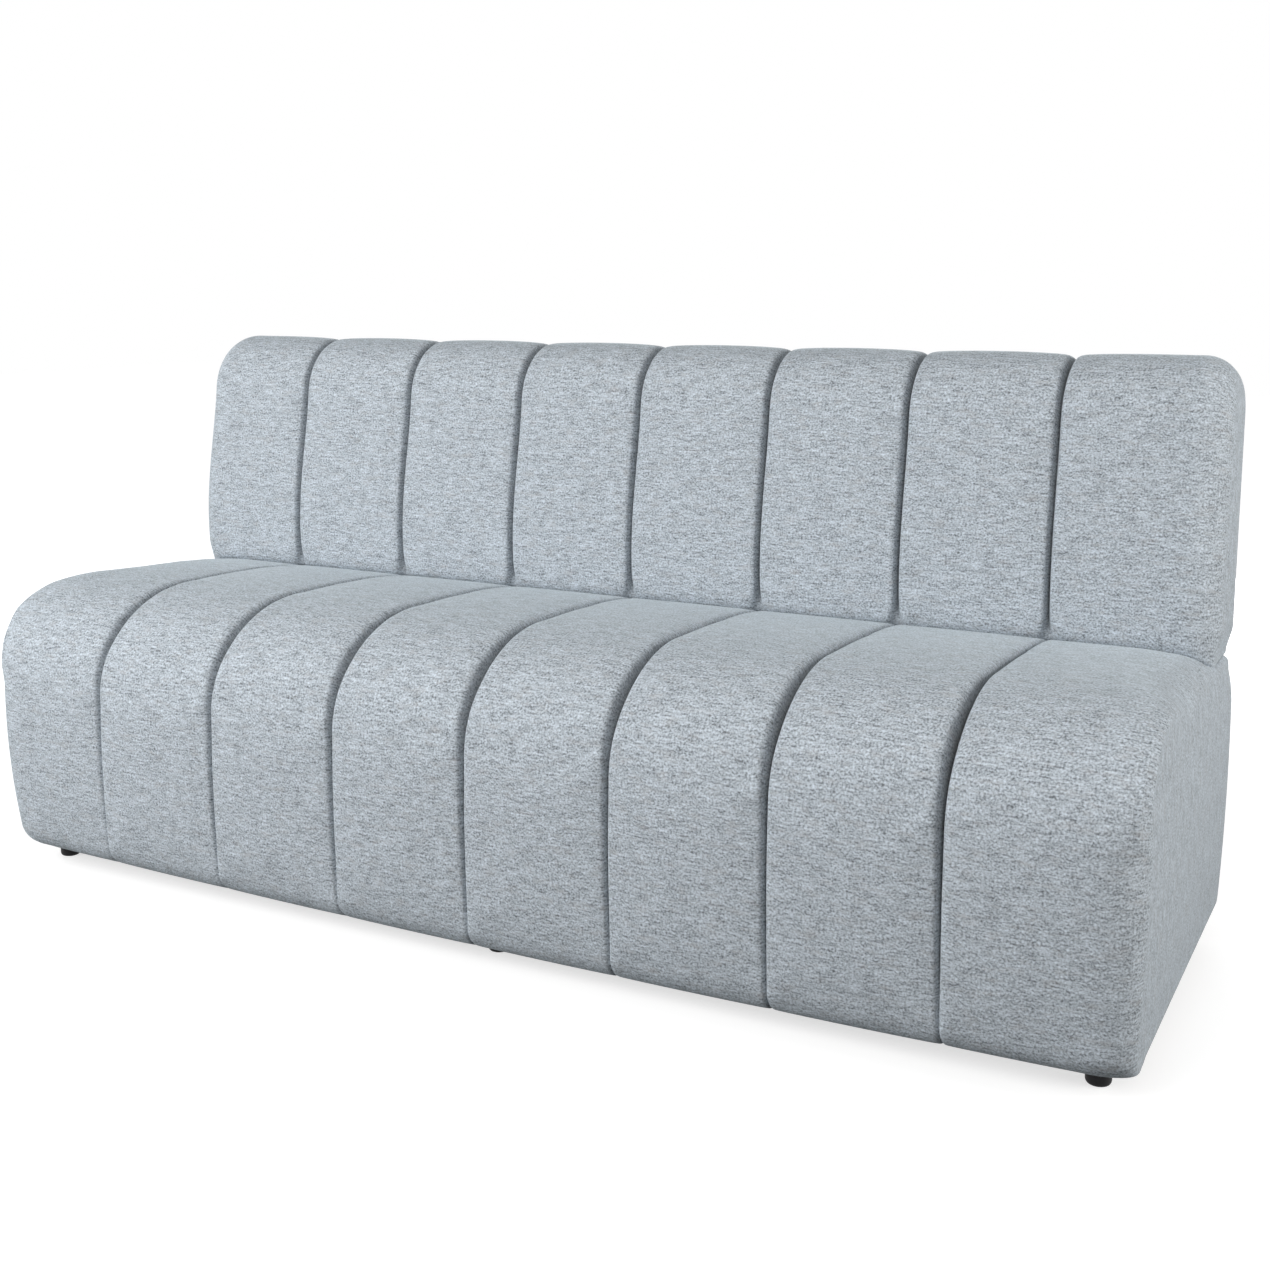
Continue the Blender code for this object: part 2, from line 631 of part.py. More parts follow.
def make_base_frame():
    ribs = (-RIB_POSITION, RIB_POSITION)
    make_cross_board("base_front_board", FRONT_OUTER, DECK - CLEARANCE, ribs, ())
    rear_top = deck_level(REAR_OUTER, COVER_PAD / LEAN_COS + CLEARANCE)
    make_cross_board("base_rear_board", REAR_INNER, rear_top, ribs, POST_CENTRES)

    front = FRONT_INNER + CLEARANCE
    rear = REAR_INNER - CLEARANCE
    tab = BOARD + CLEARANCE
    front_tabs = list(reversed(tabbed_edge(front, -tab)))
    rear_tabs = tabbed_edge(rear, tab)

    end_top = DECK - CLEARANCE
    end = [(front, FRAME_BOTTOM), (rear, FRAME_BOTTOM)] + rear_tabs
    end += [(rear, end_top), (front, end_top)] + front_tabs
    plate("base_left_end_board", [end], "X", -FRAME_HALF, BOARD - FRAME_HALF, SOFA, PLYWOOD)
    plate("base_right_end_board", [end], "X", FRAME_HALF - BOARD, FRAME_HALF, SOFA, PLYWOOD)

    seat = RAIL_BOTTOM - CLEARANCE
    horn = REAR_RAIL_REAR + CLEARANCE
    scoop_middle = lerp(FRONT_RAIL_REAR, REAR_RAIL_FRONT, 0.5)
    scoop_half = (REAR_RAIL_FRONT - FRONT_RAIL_REAR) / 2
    rib = [(front, FRAME_BOTTOM), (rear, FRAME_BOTTOM)] + rear_tabs
    rib += [(rear, RAIL_TOP), (horn, RAIL_TOP), (horn, seat)]
    rib += arc_outline((scoop_middle, seat), (scoop_half, RIB_SCOOP), 0, -180, 2 * ROLL_STEPS)
    rib += [(front, seat)] + front_tabs
    for name, centre in zip(("base_left_rib", "base_right_rib"), ribs):
        plate(name, [rib], "X", centre - BOARD / 2, centre + BOARD / 2, SOFA, PLYWOOD)

    box("front_webbing_rail", (-INNER_HALF, FRONT_RAIL_FRONT, RAIL_BOTTOM),
        (INNER_HALF, FRONT_RAIL_REAR, RAIL_TOP), SOFA, PINE)
    box("rear_webbing_rail", (-INNER_HALF, REAR_RAIL_FRONT, RAIL_BOTTOM),
        (INNER_HALF, REAR_RAIL_REAR, RAIL_TOP), SOFA, PINE)


def make_straps():
    for channel in range(CHANNEL_COUNT):
        centre = (channel + 0.5) * CHANNEL_PITCH - HALF_RUN
        low = RAIL_TOP + CLEARANCE
        box(f"seat_strap_{channel + 1}", (centre - STRAP_WIDTH / 2, FRONT_RAIL_FRONT, low),
            (centre + STRAP_WIDTH / 2, REAR_RAIL_REAR, low + STRAP), SOFA, WEBBING)


# Feet, their screws and blocks, and the cloth that closes the underside


def foot_places():
    """Name, foot centre and block centre of each foot."""
    side = INNER_HALF - FOOT_END_EDGE
    block_side = INNER_HALF - BLOCK / 2
    front = FRONT_INNER + CLEARANCE
    rear = REAR_INNER - CLEARANCE
    places = []
    for depth, foot_y, block_y in (("front", front + FOOT_BOARD_EDGE, front + BLOCK / 2),
                                   ("rear", rear - FOOT_BOARD_EDGE, rear - BLOCK / 2)):
        for across, share in (("left", -1), ("centre", 0), ("right", 1)):
            places.append((f"{depth}_{across}", (share * side, foot_y), (share * block_side, block_y)))
    return places


def make_feet():
    top = FRAME_BOTTOM - CLEARANCE
    bore = SCREW_RADIUS + CLEARANCE
    sole_round = arc_outline((FOOT_SOLE, FOOT_ROUND), (FOOT_WAIST - FOOT_SOLE, FOOT_ROUND), 0, -90, 2)
    foot_profile = [(FOOT_RADIUS, top), (FOOT_RADIUS, top - FOOT_FLANGE)] + sole_round
    foot_profile += [(HEAD_POCKET, 0.0), (HEAD_POCKET, FOOT_SHELF), (bore, FOOT_SHELF), (bore, top)]
    seat = FOOT_SHELF - CLEARANCE
    tip = seat + SCREW_LENGTH
    screw_profile = [(0.0, tip), (SCREW_RADIUS, tip - SCREW_POINT), (SCREW_RADIUS, seat),
                     (SCREW_HEAD_RADIUS, seat), (SCREW_HEAD_RADIUS, seat - SCREW_HEAD),
                     (0.0, seat - SCREW_HEAD)]
    for name, foot, block in foot_places():
        turned(f"foot_{name}", foot_profile, FOOT_STEPS, True, SOFA, PLASTIC).location = (*foot, 0.0)
        turned(f"foot_screw_{name}", screw_profile, HOLE_STEPS, False, SOFA, STEEL).location = (*foot, 0.0)
        edge = rectangle([c - BLOCK / 2 for c in block], [c + BLOCK / 2 for c in block])
        plate(f"foot_block_{name}", [edge, circle_outline(foot, bore)], "Z",
              FRAME_BOTTOM, FRAME_BOTTOM + BLOCK_HEIGHT, SOFA, PINE)


def make_dust_cover():
    half = FRAME_HALF - HEM_LAP - CLEARANCE
    edge = rectangle((-half, FRONT_OUTER + HEM_LAP + CLEARANCE), (half, REAR_OUTER - HEM_LAP - CLEARANCE))
    holes = [circle_outline(foot, FOOT_RADIUS + DUST_HOLE_MARGIN) for _, foot, _ in foot_places()]
    top = FRAME_BOTTOM - CLEARANCE
    plate("dust_cover", [edge] + holes, "Z", top - DUST_CLOTH, top, SOFA, DUST)


# The back frame: posts that drop into the base, rails let into them, panels and bolts


def post_outline():
    """A post's side view: straight leg in the base, leaning upper part with two front housings."""
    housing = POST_FRONT + BACK_RAIL + CLEARANCE
    low_step = BACK_FRAME_BOTTOM + BACK_RAIL_HEIGHT + CLEARANCE
    high_step = BACK_FRAME_TOP - BACK_RAIL_HEIGHT - CLEARANCE
    upper = [(housing, BACK_FRAME_BOTTOM), (housing, low_step), (POST_FRONT, low_step),
             (POST_FRONT, high_step), (housing, high_step), (housing, BACK_FRAME_TOP),
             (POST_REAR, BACK_FRAME_TOP), (POST_REAR, BACK_FRAME_BOTTOM)]
    shoulder = BACK_FOOT + CLEARANCE + BACK_FRAME_BOTTOM / LEAN_COS
    leg = [(LEG_REAR, shoulder - (LEG_REAR - SITTING_DEPTH) * LEAN_SLOPE), (LEG_REAR, LEG_BOTTOM),
           (LEG_FRONT, LEG_BOTTOM), (LEG_FRONT, shoulder - (LEG_FRONT - SITTING_DEPTH) * LEAN_SLOPE)]
    return [lean_to_upright(*point) for point in upper] + leg


def make_back_posts():
    outline = post_outline()
    head = [(0.0, BOLT_HEAD), (BOLT_HEAD_RADIUS / 2, BOLT_HEAD), (BOLT_HEAD_RADIUS, BOLT_HEAD / 2)]
    shank = REAR_OUTER - LEG_FRONT
    bolt_profile = head + [(BOLT_HEAD_RADIUS, CLEARANCE), (BOLT_RADIUS, CLEARANCE), (BOLT_RADIUS, -shank),
                           (0.0, -shank)]
    for number, centre in enumerate(POST_CENTRES, start=1):
        post = plate_as_mesh(plate(f"back_post_{number}", [outline], "X", centre - POST_WIDTH / 2,
                                   centre + POST_WIDTH / 2, SOFA, PLYWOOD))
        for place, level in zip(("lower", "upper"), BOLT_LEVELS):
            drill = plate(f"back_post_bore_{number}_{place}",
                          [circle_outline((centre, level), BOLT_RADIUS + CLEARANCE)], "Y",
                          LEG_FRONT - OVERCUT, LEG_REAR + OVERCUT, SOFA, collection=CUTTERS)
            cut(post, as_cutter(plate_as_mesh(drill)))
            bolt = turned(f"back_bolt_{number}_{place}", bolt_profile, HOLE_STEPS, False, SOFA, STEEL)
            bolt.rotation_euler = TURNS["Y"]
            bolt.location = (centre, LEG_FRONT, level)


def make_back_rails_and_panels():
    front, rear = POST_FRONT, POST_FRONT + BACK_RAIL
    low, high = BACK_FRAME_BOTTOM, BACK_FRAME_TOP
    half = INNER_HALF
    box("back_bottom_rail", (-half, front, low), (half, rear, low + BACK_RAIL_HEIGHT), BACK, PINE)
    box("back_top_rail", (-half, front, high - BACK_RAIL_HEIGHT), (half, rear, high), BACK, PINE)
    panel_rear = PANEL_FRONT + FACE_PANEL
    box("back_face_panel", (-half, PANEL_FRONT, low), (half, panel_rear, high), BACK, HARDBOARD)
    behind = POST_REAR + CLEARANCE
    box("back_rear_panel", (-half, behind, low), (half, behind + REAR_PANEL, high), BACK, HARDBOARD)


clear_scene()
PARTS = make_collection("dining_sofa")
CUTTERS = make_collection("dining_sofa_cutters")

FABRIC = make_material("heathered_fabric", (0.41, 0.46, 0.49), 0.95)
FOAM = make_material("seat_foam", (0.80, 0.74, 0.58), 0.95)
PLYWOOD = make_material("birch_plywood", (0.62, 0.47, 0.30), 0.65)
PINE = make_material("pine", (0.70, 0.52, 0.30), 0.65)
HARDBOARD = make_material("hardboard", (0.30, 0.19, 0.11), 0.75)
WEBBING = make_material("elastic_webbing", (0.07, 0.07, 0.08), 0.85)
DUST = make_material("dust_cloth", (0.03, 0.03, 0.03), 0.95)
PLASTIC = make_material("black_plastic", (0.015, 0.015, 0.016), 0.45)
STEEL = make_material("zinc_steel", (0.62, 0.62, 0.60), 0.35, 1.0)

SOFA = make_empty("sofa_frame")
SOFA.location = (0.0, -middle_of_depth(), 0.0)
BACK = make_empty("back_lean", SOFA)
BACK.location = (0.0, SITTING_DEPTH, BACK_FOOT + CLEARANCE)
BACK.rotation_euler = (-BACK_LEAN, 0.0, 0.0)

make_base_frame()
make_straps()
make_feet()
make_dust_cover()
make_seat_foam()
make_seat_cover()
make_back_posts()
make_back_rails_and_panels()
make_back_foam()
make_back_cover()
bpy.context.view_layer.update()
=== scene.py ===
"""Looks of a dining sofa: a bench with a back, sewn in eight channels, on small black feet.

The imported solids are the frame. Boards, rails, panels and fasteners keep their solids and get a finish.
The covers, foam, straps, dust cover and feet get finer surfaces in the same places.
"""

import bmesh
import bpy
import numpy as np
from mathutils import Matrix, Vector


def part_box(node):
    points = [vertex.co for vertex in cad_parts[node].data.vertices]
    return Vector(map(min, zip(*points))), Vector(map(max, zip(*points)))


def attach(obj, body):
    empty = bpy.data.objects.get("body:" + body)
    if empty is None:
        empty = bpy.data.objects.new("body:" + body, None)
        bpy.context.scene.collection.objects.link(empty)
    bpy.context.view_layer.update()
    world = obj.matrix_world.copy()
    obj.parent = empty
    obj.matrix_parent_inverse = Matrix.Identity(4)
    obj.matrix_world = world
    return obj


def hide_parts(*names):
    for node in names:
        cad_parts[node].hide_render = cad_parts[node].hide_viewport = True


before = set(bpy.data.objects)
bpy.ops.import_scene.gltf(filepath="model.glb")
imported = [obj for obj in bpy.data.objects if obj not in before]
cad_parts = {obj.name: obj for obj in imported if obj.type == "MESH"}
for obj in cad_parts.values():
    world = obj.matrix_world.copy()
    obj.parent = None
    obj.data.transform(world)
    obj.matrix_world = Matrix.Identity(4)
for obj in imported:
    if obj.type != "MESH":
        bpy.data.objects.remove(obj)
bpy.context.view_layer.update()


# Base boards and ribs
# Birch plywood, sawn to outline with tabs that pass through the front and rear boards, and glued.
# The faces show rotary-cut veneer and the sawn edges show the stacked plies.
PLY = 0.0018
VENEER_PALE = (0.68, 0.52, 0.34, 1.0)
VENEER_DARK = (0.50, 0.35, 0.20, 1.0)
GLUE_LINE = (0.24, 0.15, 0.09, 1.0)
FACE_LEAST = 0.7


def add_node(tree, kind, inputs=None, **settings):
    """A shader node with its settings; each input is a plain value or the socket that feeds it."""
    made = tree.nodes.new(kind)
    for name, value in settings.items():
        setattr(made, name, value)
    for name, value in (inputs or {}).items():
        if isinstance(value, bpy.types.NodeSocket):
            tree.links.new(value, made.inputs[name])
        else:
            made.inputs[name].default_value = value
    return made


def add_math(tree, operation, *values):
    """The result of one sum on plain values or sockets."""
    return add_node(tree, "ShaderNodeMath", dict(enumerate(values)), operation=operation).outputs[0]


def add_range(tree, value, start, end, low=0.0, high=1.0):
    """A value carried over from the range start to end to the range low to high, and held outside it."""
    made = add_node(tree, "ShaderNodeMapRange", {
        "Value": value, "From Min": start, "From Max": end, "To Min": low, "To Max": high})
    return made.outputs["Result"]


def add_mix(tree, share, first, second):
    """A blend of two colours by a share of the second."""
    made = add_node(tree, "ShaderNodeMix", {"Factor": share, 6: first, 7: second}, data_type="RGBA")
    return made.outputs[2]


def add_ramp(tree, factor, stops):
    """A colour ramp through (place, colour) stops."""
    ramp = add_node(tree, "ShaderNodeValToRGB", {"Fac": factor})
    elements = ramp.color_ramp.elements
    while len(elements) < len(stops):
        elements.new(1.0)
    for element, (place, colour) in zip(elements, stops):
        element.position = place
        element.color = colour
    return ramp.outputs["Color"]


def stretched_noise(tree, vector, scale, detail=3.0, roughness=0.55, waver=0.0):
    """Noise drawn out along an axis: the coordinates are scaled by grains per metre on each axis."""
    mapped = add_node(tree, "ShaderNodeMapping", {"Vector": vector, "Scale": scale})
    noise = add_node(tree, "ShaderNodeTexNoise", {
        "Vector": mapped.outputs["Vector"], "Scale": 1.0, "Detail": detail, "Roughness": roughness,
        "Distortion": waver})
    return noise.outputs["Fac"]


def new_group(name, inputs, outputs):
    """An empty shader group with named sockets. Gives the group, its input node and its output node."""
    group = bpy.data.node_groups.new(name, "ShaderNodeTree")
    for socket, kind in inputs:
        group.interface.new_socket(socket, in_out="INPUT", socket_type=kind)
    for socket, kind in outputs:
        group.interface.new_socket(socket, in_out="OUTPUT", socket_type=kind)
    return group, group.nodes.new("NodeGroupInput"), group.nodes.new("NodeGroupOutput")


def make_grain():
    """Sawn wood: soft bands drawn out along X, with fine dark pores, between a pale and a dark colour."""
    group, given, result = new_group(
        "wood_grain",
        [("Vector", "NodeSocketVector"), ("Pale", "NodeSocketColor"), ("Dark", "NodeSocketColor")],
        [("Color", "NodeSocketColor"), ("Height", "NodeSocketFloat")])
    bands = stretched_noise(group, given.outputs["Vector"], (2.0, 45.0, 45.0), 4.0)
    pores = stretched_noise(group, given.outputs["Vector"], (25.0, 900.0, 900.0), 2.0)
    grain = add_math(group, "MULTIPLY", bands, 0.7)
    grain = add_math(group, "MULTIPLY_ADD", pores, 0.5, grain)
    colour = add_mix(group, add_range(group, grain, 0.4, 0.8), given.outputs["Pale"], given.outputs["Dark"])
    group.links.new(colour, result.inputs["Color"])
    group.links.new(grain, result.inputs["Height"])
    return group


def new_material(name, **plain):
    """A material with one Principled shader and plain values on its sockets."""
    material = bpy.data.materials.new(name)
    material.use_nodes = True
    shader = material.node_tree.nodes["Principled BSDF"]
    for socket, value in plain.items():
        shader.inputs[socket.replace("_", " ")].default_value = value
    return material, material.node_tree, shader


def add_bump(tree, shader, height, strength, distance):
    """Feeds a height to the shader's normal."""
    bump = add_node(tree, "ShaderNodeBump", {"Height": height, "Strength": strength, "Distance": distance})
    tree.links.new(bump.outputs["Normal"], shader.inputs["Normal"])


GRAIN = make_grain()


def object_place(tree, turn=(0.0, 0.0, 0.0)):
    """Object coordinates in metres, turned so that the grain runs along X."""
    place = add_node(tree, "ShaderNodeTexCoord").outputs["Object"]
    return add_node(tree, "ShaderNodeMapping", {"Vector": place, "Rotation": turn}).outputs["Vector"]


def make_plywood(name, through, turn):
    """Plywood whose thickness runs along an axis: veneer on its faces, plies and glue lines on its edges."""
    material, tree, shader = new_material(name, Roughness=0.62)
    veneer = add_node(tree, "ShaderNodeGroup", {
        "Vector": object_place(tree, turn), "Pale": VENEER_PALE, "Dark": VENEER_DARK}, node_tree=GRAIN)
    place = add_node(tree, "ShaderNodeTexCoord").outputs["Object"]
    depth = add_node(tree, "ShaderNodeVectorMath", {0: place, 1: through}, operation="DOT_PRODUCT")
    ply = add_math(tree, "PINGPONG", depth.outputs["Value"], PLY)
    plies = add_ramp(tree, add_math(tree, "DIVIDE", ply, PLY), [
        (0.0, VENEER_PALE), (0.42, VENEER_PALE), (0.48, GLUE_LINE), (0.56, VENEER_DARK), (1.0, VENEER_DARK)])
    normal = add_node(tree, "ShaderNodeNewGeometry").outputs["Normal"]
    facing = add_node(tree, "ShaderNodeVectorMath", {0: normal, 1: through}, operation="DOT_PRODUCT")
    face = add_math(tree, "GREATER_THAN", add_math(tree, "ABSOLUTE", facing.outputs["Value"]), FACE_LEAST)
    colour = add_mix(tree, face, plies, veneer.outputs["Color"])
    tree.links.new(colour, shader.inputs["Base Color"])
    add_bump(tree, shader, veneer.outputs["Height"], 0.3, 0.0005)
    return material


def finish_nodes(material, *names):
    """Gives carried-over solids a finish."""
    for name in names:
        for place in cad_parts[name].material_slots:
            place.material = material


QUARTER = np.pi / 2
finish_nodes(make_plywood("plywood_along", (0.0, 1.0, 0.0), (0.0, 0.0, 0.0)),
             "base_front_board", "base_rear_board")
finish_nodes(make_plywood("plywood_across", (1.0, 0.0, 0.0), (0.0, 0.0, QUARTER)),
             "base_left_end_board", "base_right_end_board", "base_left_rib", "base_right_rib")


# Webbing rails and foot blocks
# Planed pine, 45 mm square rails that lie on the ribs and short blocks glued into the corners of the
# base and behind its middle, for the feet to screw into.
PINE_PALE = (0.76, 0.58, 0.35, 1.0)
PINE_DARK = (0.56, 0.36, 0.17, 1.0)
FOOT_PLACES = [f"{depth}_{across}" for depth in ("front", "rear") for across in ("left", "centre", "right")]


def make_pine():
    """Pine with the grain along X."""
    material, tree, shader = new_material("planed_pine", Roughness=0.6)
    grain = add_node(tree, "ShaderNodeGroup", {
        "Vector": object_place(tree), "Pale": PINE_PALE, "Dark": PINE_DARK}, node_tree=GRAIN)
    tree.links.new(grain.outputs["Color"], shader.inputs["Base Color"])
    add_bump(tree, shader, grain.outputs["Height"], 0.35, 0.0006)
    return material


pine = make_pine()
finish_nodes(pine, "front_webbing_rail", "rear_webbing_rail")
finish_nodes(pine, *(f"foot_block_{place}" for place in FOOT_PLACES))


# Seat straps
# Eight elastic webbing straps, stretched across the two rails under the middle of each channel and
# stapled there. Black woven tape 70 mm wide, with rounded edges and a slight sag between the rails.
STRAPS = 8
STRAP_STEPS = 40
STRAP_SAG = 0.0015
STRAP_EDGE = 0.0009
RIB_WAVES = 3200.0
PICK_WAVES = 2100.0
STRAP_BLACK = (0.022, 0.022, 0.024, 1.0)
STRAP_GREY = (0.075, 0.075, 0.080, 1.0)


def add_object(name, data):
    """An object in the scene that holds a mesh, a lamp or a camera."""
    made = bpy.data.objects.new(name, data)
    bpy.context.scene.collection.objects.link(made)
    return made


def new_piece(name, points, faces, material, uv=None):
    """A mesh object at the origin from an array of points and a list of faces, shaded smooth."""
    mesh = bpy.data.meshes.new(name)
    mesh.from_pydata(np.asarray(points).reshape(-1, 3), [], faces)
    if uv is not None:
        layer = mesh.uv_layers.new(name="cloth")
        layer.data.foreach_set("uv", np.asarray(uv, dtype=np.float32).ravel())
    mesh.polygons.foreach_set("use_smooth", np.ones(len(mesh.polygons), dtype=bool))
    mesh.update()
    mesh.materials.append(material)
    return add_object(name, mesh)


def ring_cells(columns, rows):
    """Corner numbers of a grid's cells, columns by rows, where the rows close into a ring."""
    column, row = np.meshgrid(np.arange(columns - 1), np.arange(rows), indexing="ij")
    after = (row + 1) % rows
    return np.stack((column * rows + row, (column + 1) * rows + row,
                     (column + 1) * rows + after, column * rows + after), axis=-1)


def make_webbing():
    """Woven tape: fine ribs along the strap and picks across it, as the product of two sine waves."""
    material, tree, shader = new_material("black_webbing", Roughness=0.8)
    place = add_node(tree, "ShaderNodeTexCoord").outputs["Object"]
    parts = add_node(tree, "ShaderNodeSeparateXYZ", {"Vector": place})
    ribs = add_math(tree, "SINE", add_math(tree, "MULTIPLY", parts.outputs["X"], RIB_WAVES))
    picks = add_math(tree, "SINE", add_math(tree, "MULTIPLY", parts.outputs["Y"], PICK_WAVES))
    weave = add_range(tree, add_math(tree, "MULTIPLY", ribs, picks), -1.0, 1.0)
    colour = add_ramp(tree, weave, [(0.0, STRAP_BLACK), (1.0, STRAP_GREY)])
    tree.links.new(colour, shader.inputs["Base Color"])
    add_bump(tree, shader, weave, 0.5, 0.0004)
    return material


webbing = make_webbing()
front_rail_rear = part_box("front_webbing_rail")[1].y
rear_rail_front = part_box("rear_webbing_rail")[0].y


def make_strap(name):
    """A flat tape with rounded edges carried along Y, sagging by a squared sine between the rails."""
    low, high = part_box(name)
    middle = (low.x + high.x) / 2
    half = (high.x - low.x) / 2
    thick = high.z - low.z
    angle = np.radians([0, 40, 90, 140, 180, 220, 270, 320])
    flank = np.sign(np.cos(angle).round(6))
    ring_x = middle + flank * (half - STRAP_EDGE) + STRAP_EDGE * np.cos(angle)
    ring_z = low.z + thick / 2 + thick / 2 * np.sin(angle)
    along = np.linspace(low.y, high.y, STRAP_STEPS)
    free = np.clip((along - front_rail_rear) / (rear_rail_front - front_rail_rear), 0, 1)
    sag = STRAP_SAG * np.sin(np.pi * free) ** 2
    points = np.stack(np.broadcast_arrays(ring_x, along[:, None], ring_z - sag[:, None]), axis=-1)
    faces = ring_cells(len(along), len(angle)).reshape(-1, 4).tolist()
    last = (len(along) - 1) * len(angle)
    faces.append(list(range(len(angle)))[::-1])
    faces.append([last + index for index in range(len(angle))])
    strap = new_piece(f"webbing_{name}", points, faces, webbing)
    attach(strap, "root")
    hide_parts(name)


for number in range(1, STRAPS + 1):
    make_strap(f"seat_strap_{number}")


# Seat foam
# Cut polyurethane foam glued to the base: the core with its rolled front edge, a face pad on the front
# board and a pad on each end. Hot-wire cut, so the faces are flat and the edges a little rounded.
FOAM_EDGE = 0.005
FOAM_SHARP = np.radians(40.0)
FOAM_FLAT = np.radians(1.0)
FOAM_MERGE = 1e-5
FOAM_PALE = (0.80, 0.74, 0.56, 1.0)
FOAM_DARK = (0.64, 0.56, 0.38, 1.0)


def mottled_material(name, stops, *noise, **plain):
    """A material whose colour goes through stops by a noise. Gives it, its tree, shader, place and noise."""
    material, tree, shader = new_material(name, **plain)
    place = object_place(tree)
    mottle = stretched_noise(tree, place, *noise)
    tree.links.new(add_ramp(tree, mottle, stops), shader.inputs["Base Color"])
    return material, tree, shader, place, mottle


def make_foam_material():
    """Open-cell foam: small cells in relief, with slow yellowing in patches."""
    material, tree, shader, place, _ = mottled_material(
        "cut_foam", [(0.3, FOAM_PALE), (0.75, FOAM_DARK)], (6.0, 6.0, 6.0), 2.0, Roughness=0.95)
    cells = add_node(tree, "ShaderNodeTexVoronoi", {"Vector": place, "Scale": 700.0})
    add_bump(tree, shader, cells.outputs["Distance"], 0.4, 0.0006)
    return material


foam = make_foam_material()


def make_foam(node):
    """A foam piece: the solid's own faces with every sharp edge rounded over."""
    form = bmesh.new()
    form.from_mesh(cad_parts[node].data)
    bmesh.ops.remove_doubles(form, verts=form.verts, dist=FOAM_MERGE)
    bmesh.ops.dissolve_limit(form, angle_limit=FOAM_FLAT, verts=form.verts, edges=form.edges)
    mesh = bpy.data.meshes.new(f"foam_{node}")
    form.to_mesh(mesh)
    form.free()
    mesh.materials.clear()
    mesh.materials.append(foam)
    piece = add_object(f"foam_{node}", mesh)
    bevel = piece.modifiers.new("cut_edges", "BEVEL")
    bevel.width = FOAM_EDGE
    bevel.segments = 3
    bevel.limit_method = "ANGLE"
    bevel.angle_limit = FOAM_SHARP
    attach(piece, "root")
    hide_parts(node)


for node in ("seat_core_foam", "seat_front_foam", "seat_left_end_foam", "seat_right_end_foam"):
    make_foam(node)


# Seat cover
# Brushed heather fabric quilted over wadding in eight channels, from the hem under the front, over the
# rolled edge and back to the foot of the back. It is drawn round the ends and stapled under the frame.
CHANNELS = 8
PITCH = 0.225
SEWN_LINES = PITCH * np.arange(1 - CHANNELS // 2, CHANNELS // 2)
TOUCH = 1e-6
CLEARANCE = 0.0003
SEAT_HALF = 0.910
SEAT_HEIGHT = 0.454
SITTING_DEPTH = 0.4855
SEAT_REAR = 0.64654
SEAT_FALL = 0.014
FALL_POWER = 2.5
LEAN = np.radians(6.5)
FLOOR_GAP = 0.040
ROLL_DEPTH = 0.200
ROLL_HEIGHT = 0.145
DECK = SEAT_HEIGHT - ROLL_HEIGHT
BOTTOM_ROLL = 0.030
LINING_ROLL_LOSS = 4 / 15
LEAST_ROLL = 0.0005
REAR_EDGE = 0.018
REAR_HEM_EDGE = 0.008
INSET_SHARE = 0.7
SEAT_END_ROLL = 0.055
LEFT_PULL = 0.0200
RIGHT_PULL = 0.0085
BOTTOM_END_ROLL = 0.003
REAR_END_ROLL = 0.009
FRONT_CROWN = 0.014
HEM_FRONT = 0.0526
HEM_REAR = 0.63124
HEM_END = 0.8704
POST_PLACES = (-0.8366, -0.3318, 0.3318, 0.8366)
POST_HALF = 0.0228
SLOT_FRONT = 0.57964
SLOT_REAR = 0.62024
SEAT_LINING_HALF = 0.8777
SEAT_LINING_STRAIGHT = 0.862
END_RECESS_HALF = 0.890
END_RECESS = 0.0247
WADDING = 0.015
REAR_WADDING = 0.008
HEM_THICKNESS = 0.005

seat_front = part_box("seat_cover")[0].y + FRONT_CROWN


def arc(centre, radii, start, end, count):
    """Points on an ellipse: its centre plus each radius times the cosine and sine of the angle."""
    angle = np.radians(np.linspace(start, end, count, endpoint=False))
    return np.column_stack((centre[0] + radii[0] * np.cos(angle), centre[1] + radii[1] * np.sin(angle)))


def line(start, end, count):
    """Evenly spaced points from start up to, but not including, end."""
    return np.linspace(start, end, count, endpoint=False)


def along_rows(parts):
    """One ring of points from its parts, and for each row the part's number plus the share along it."""
    keys = np.concatenate([number + np.arange(len(part)) / len(part) for number, part in enumerate(parts)])
    return np.concatenate(parts), keys


def row_of(keys, part):
    """The row where a part of the section starts."""
    return int(np.flatnonzero(keys == part)[0])


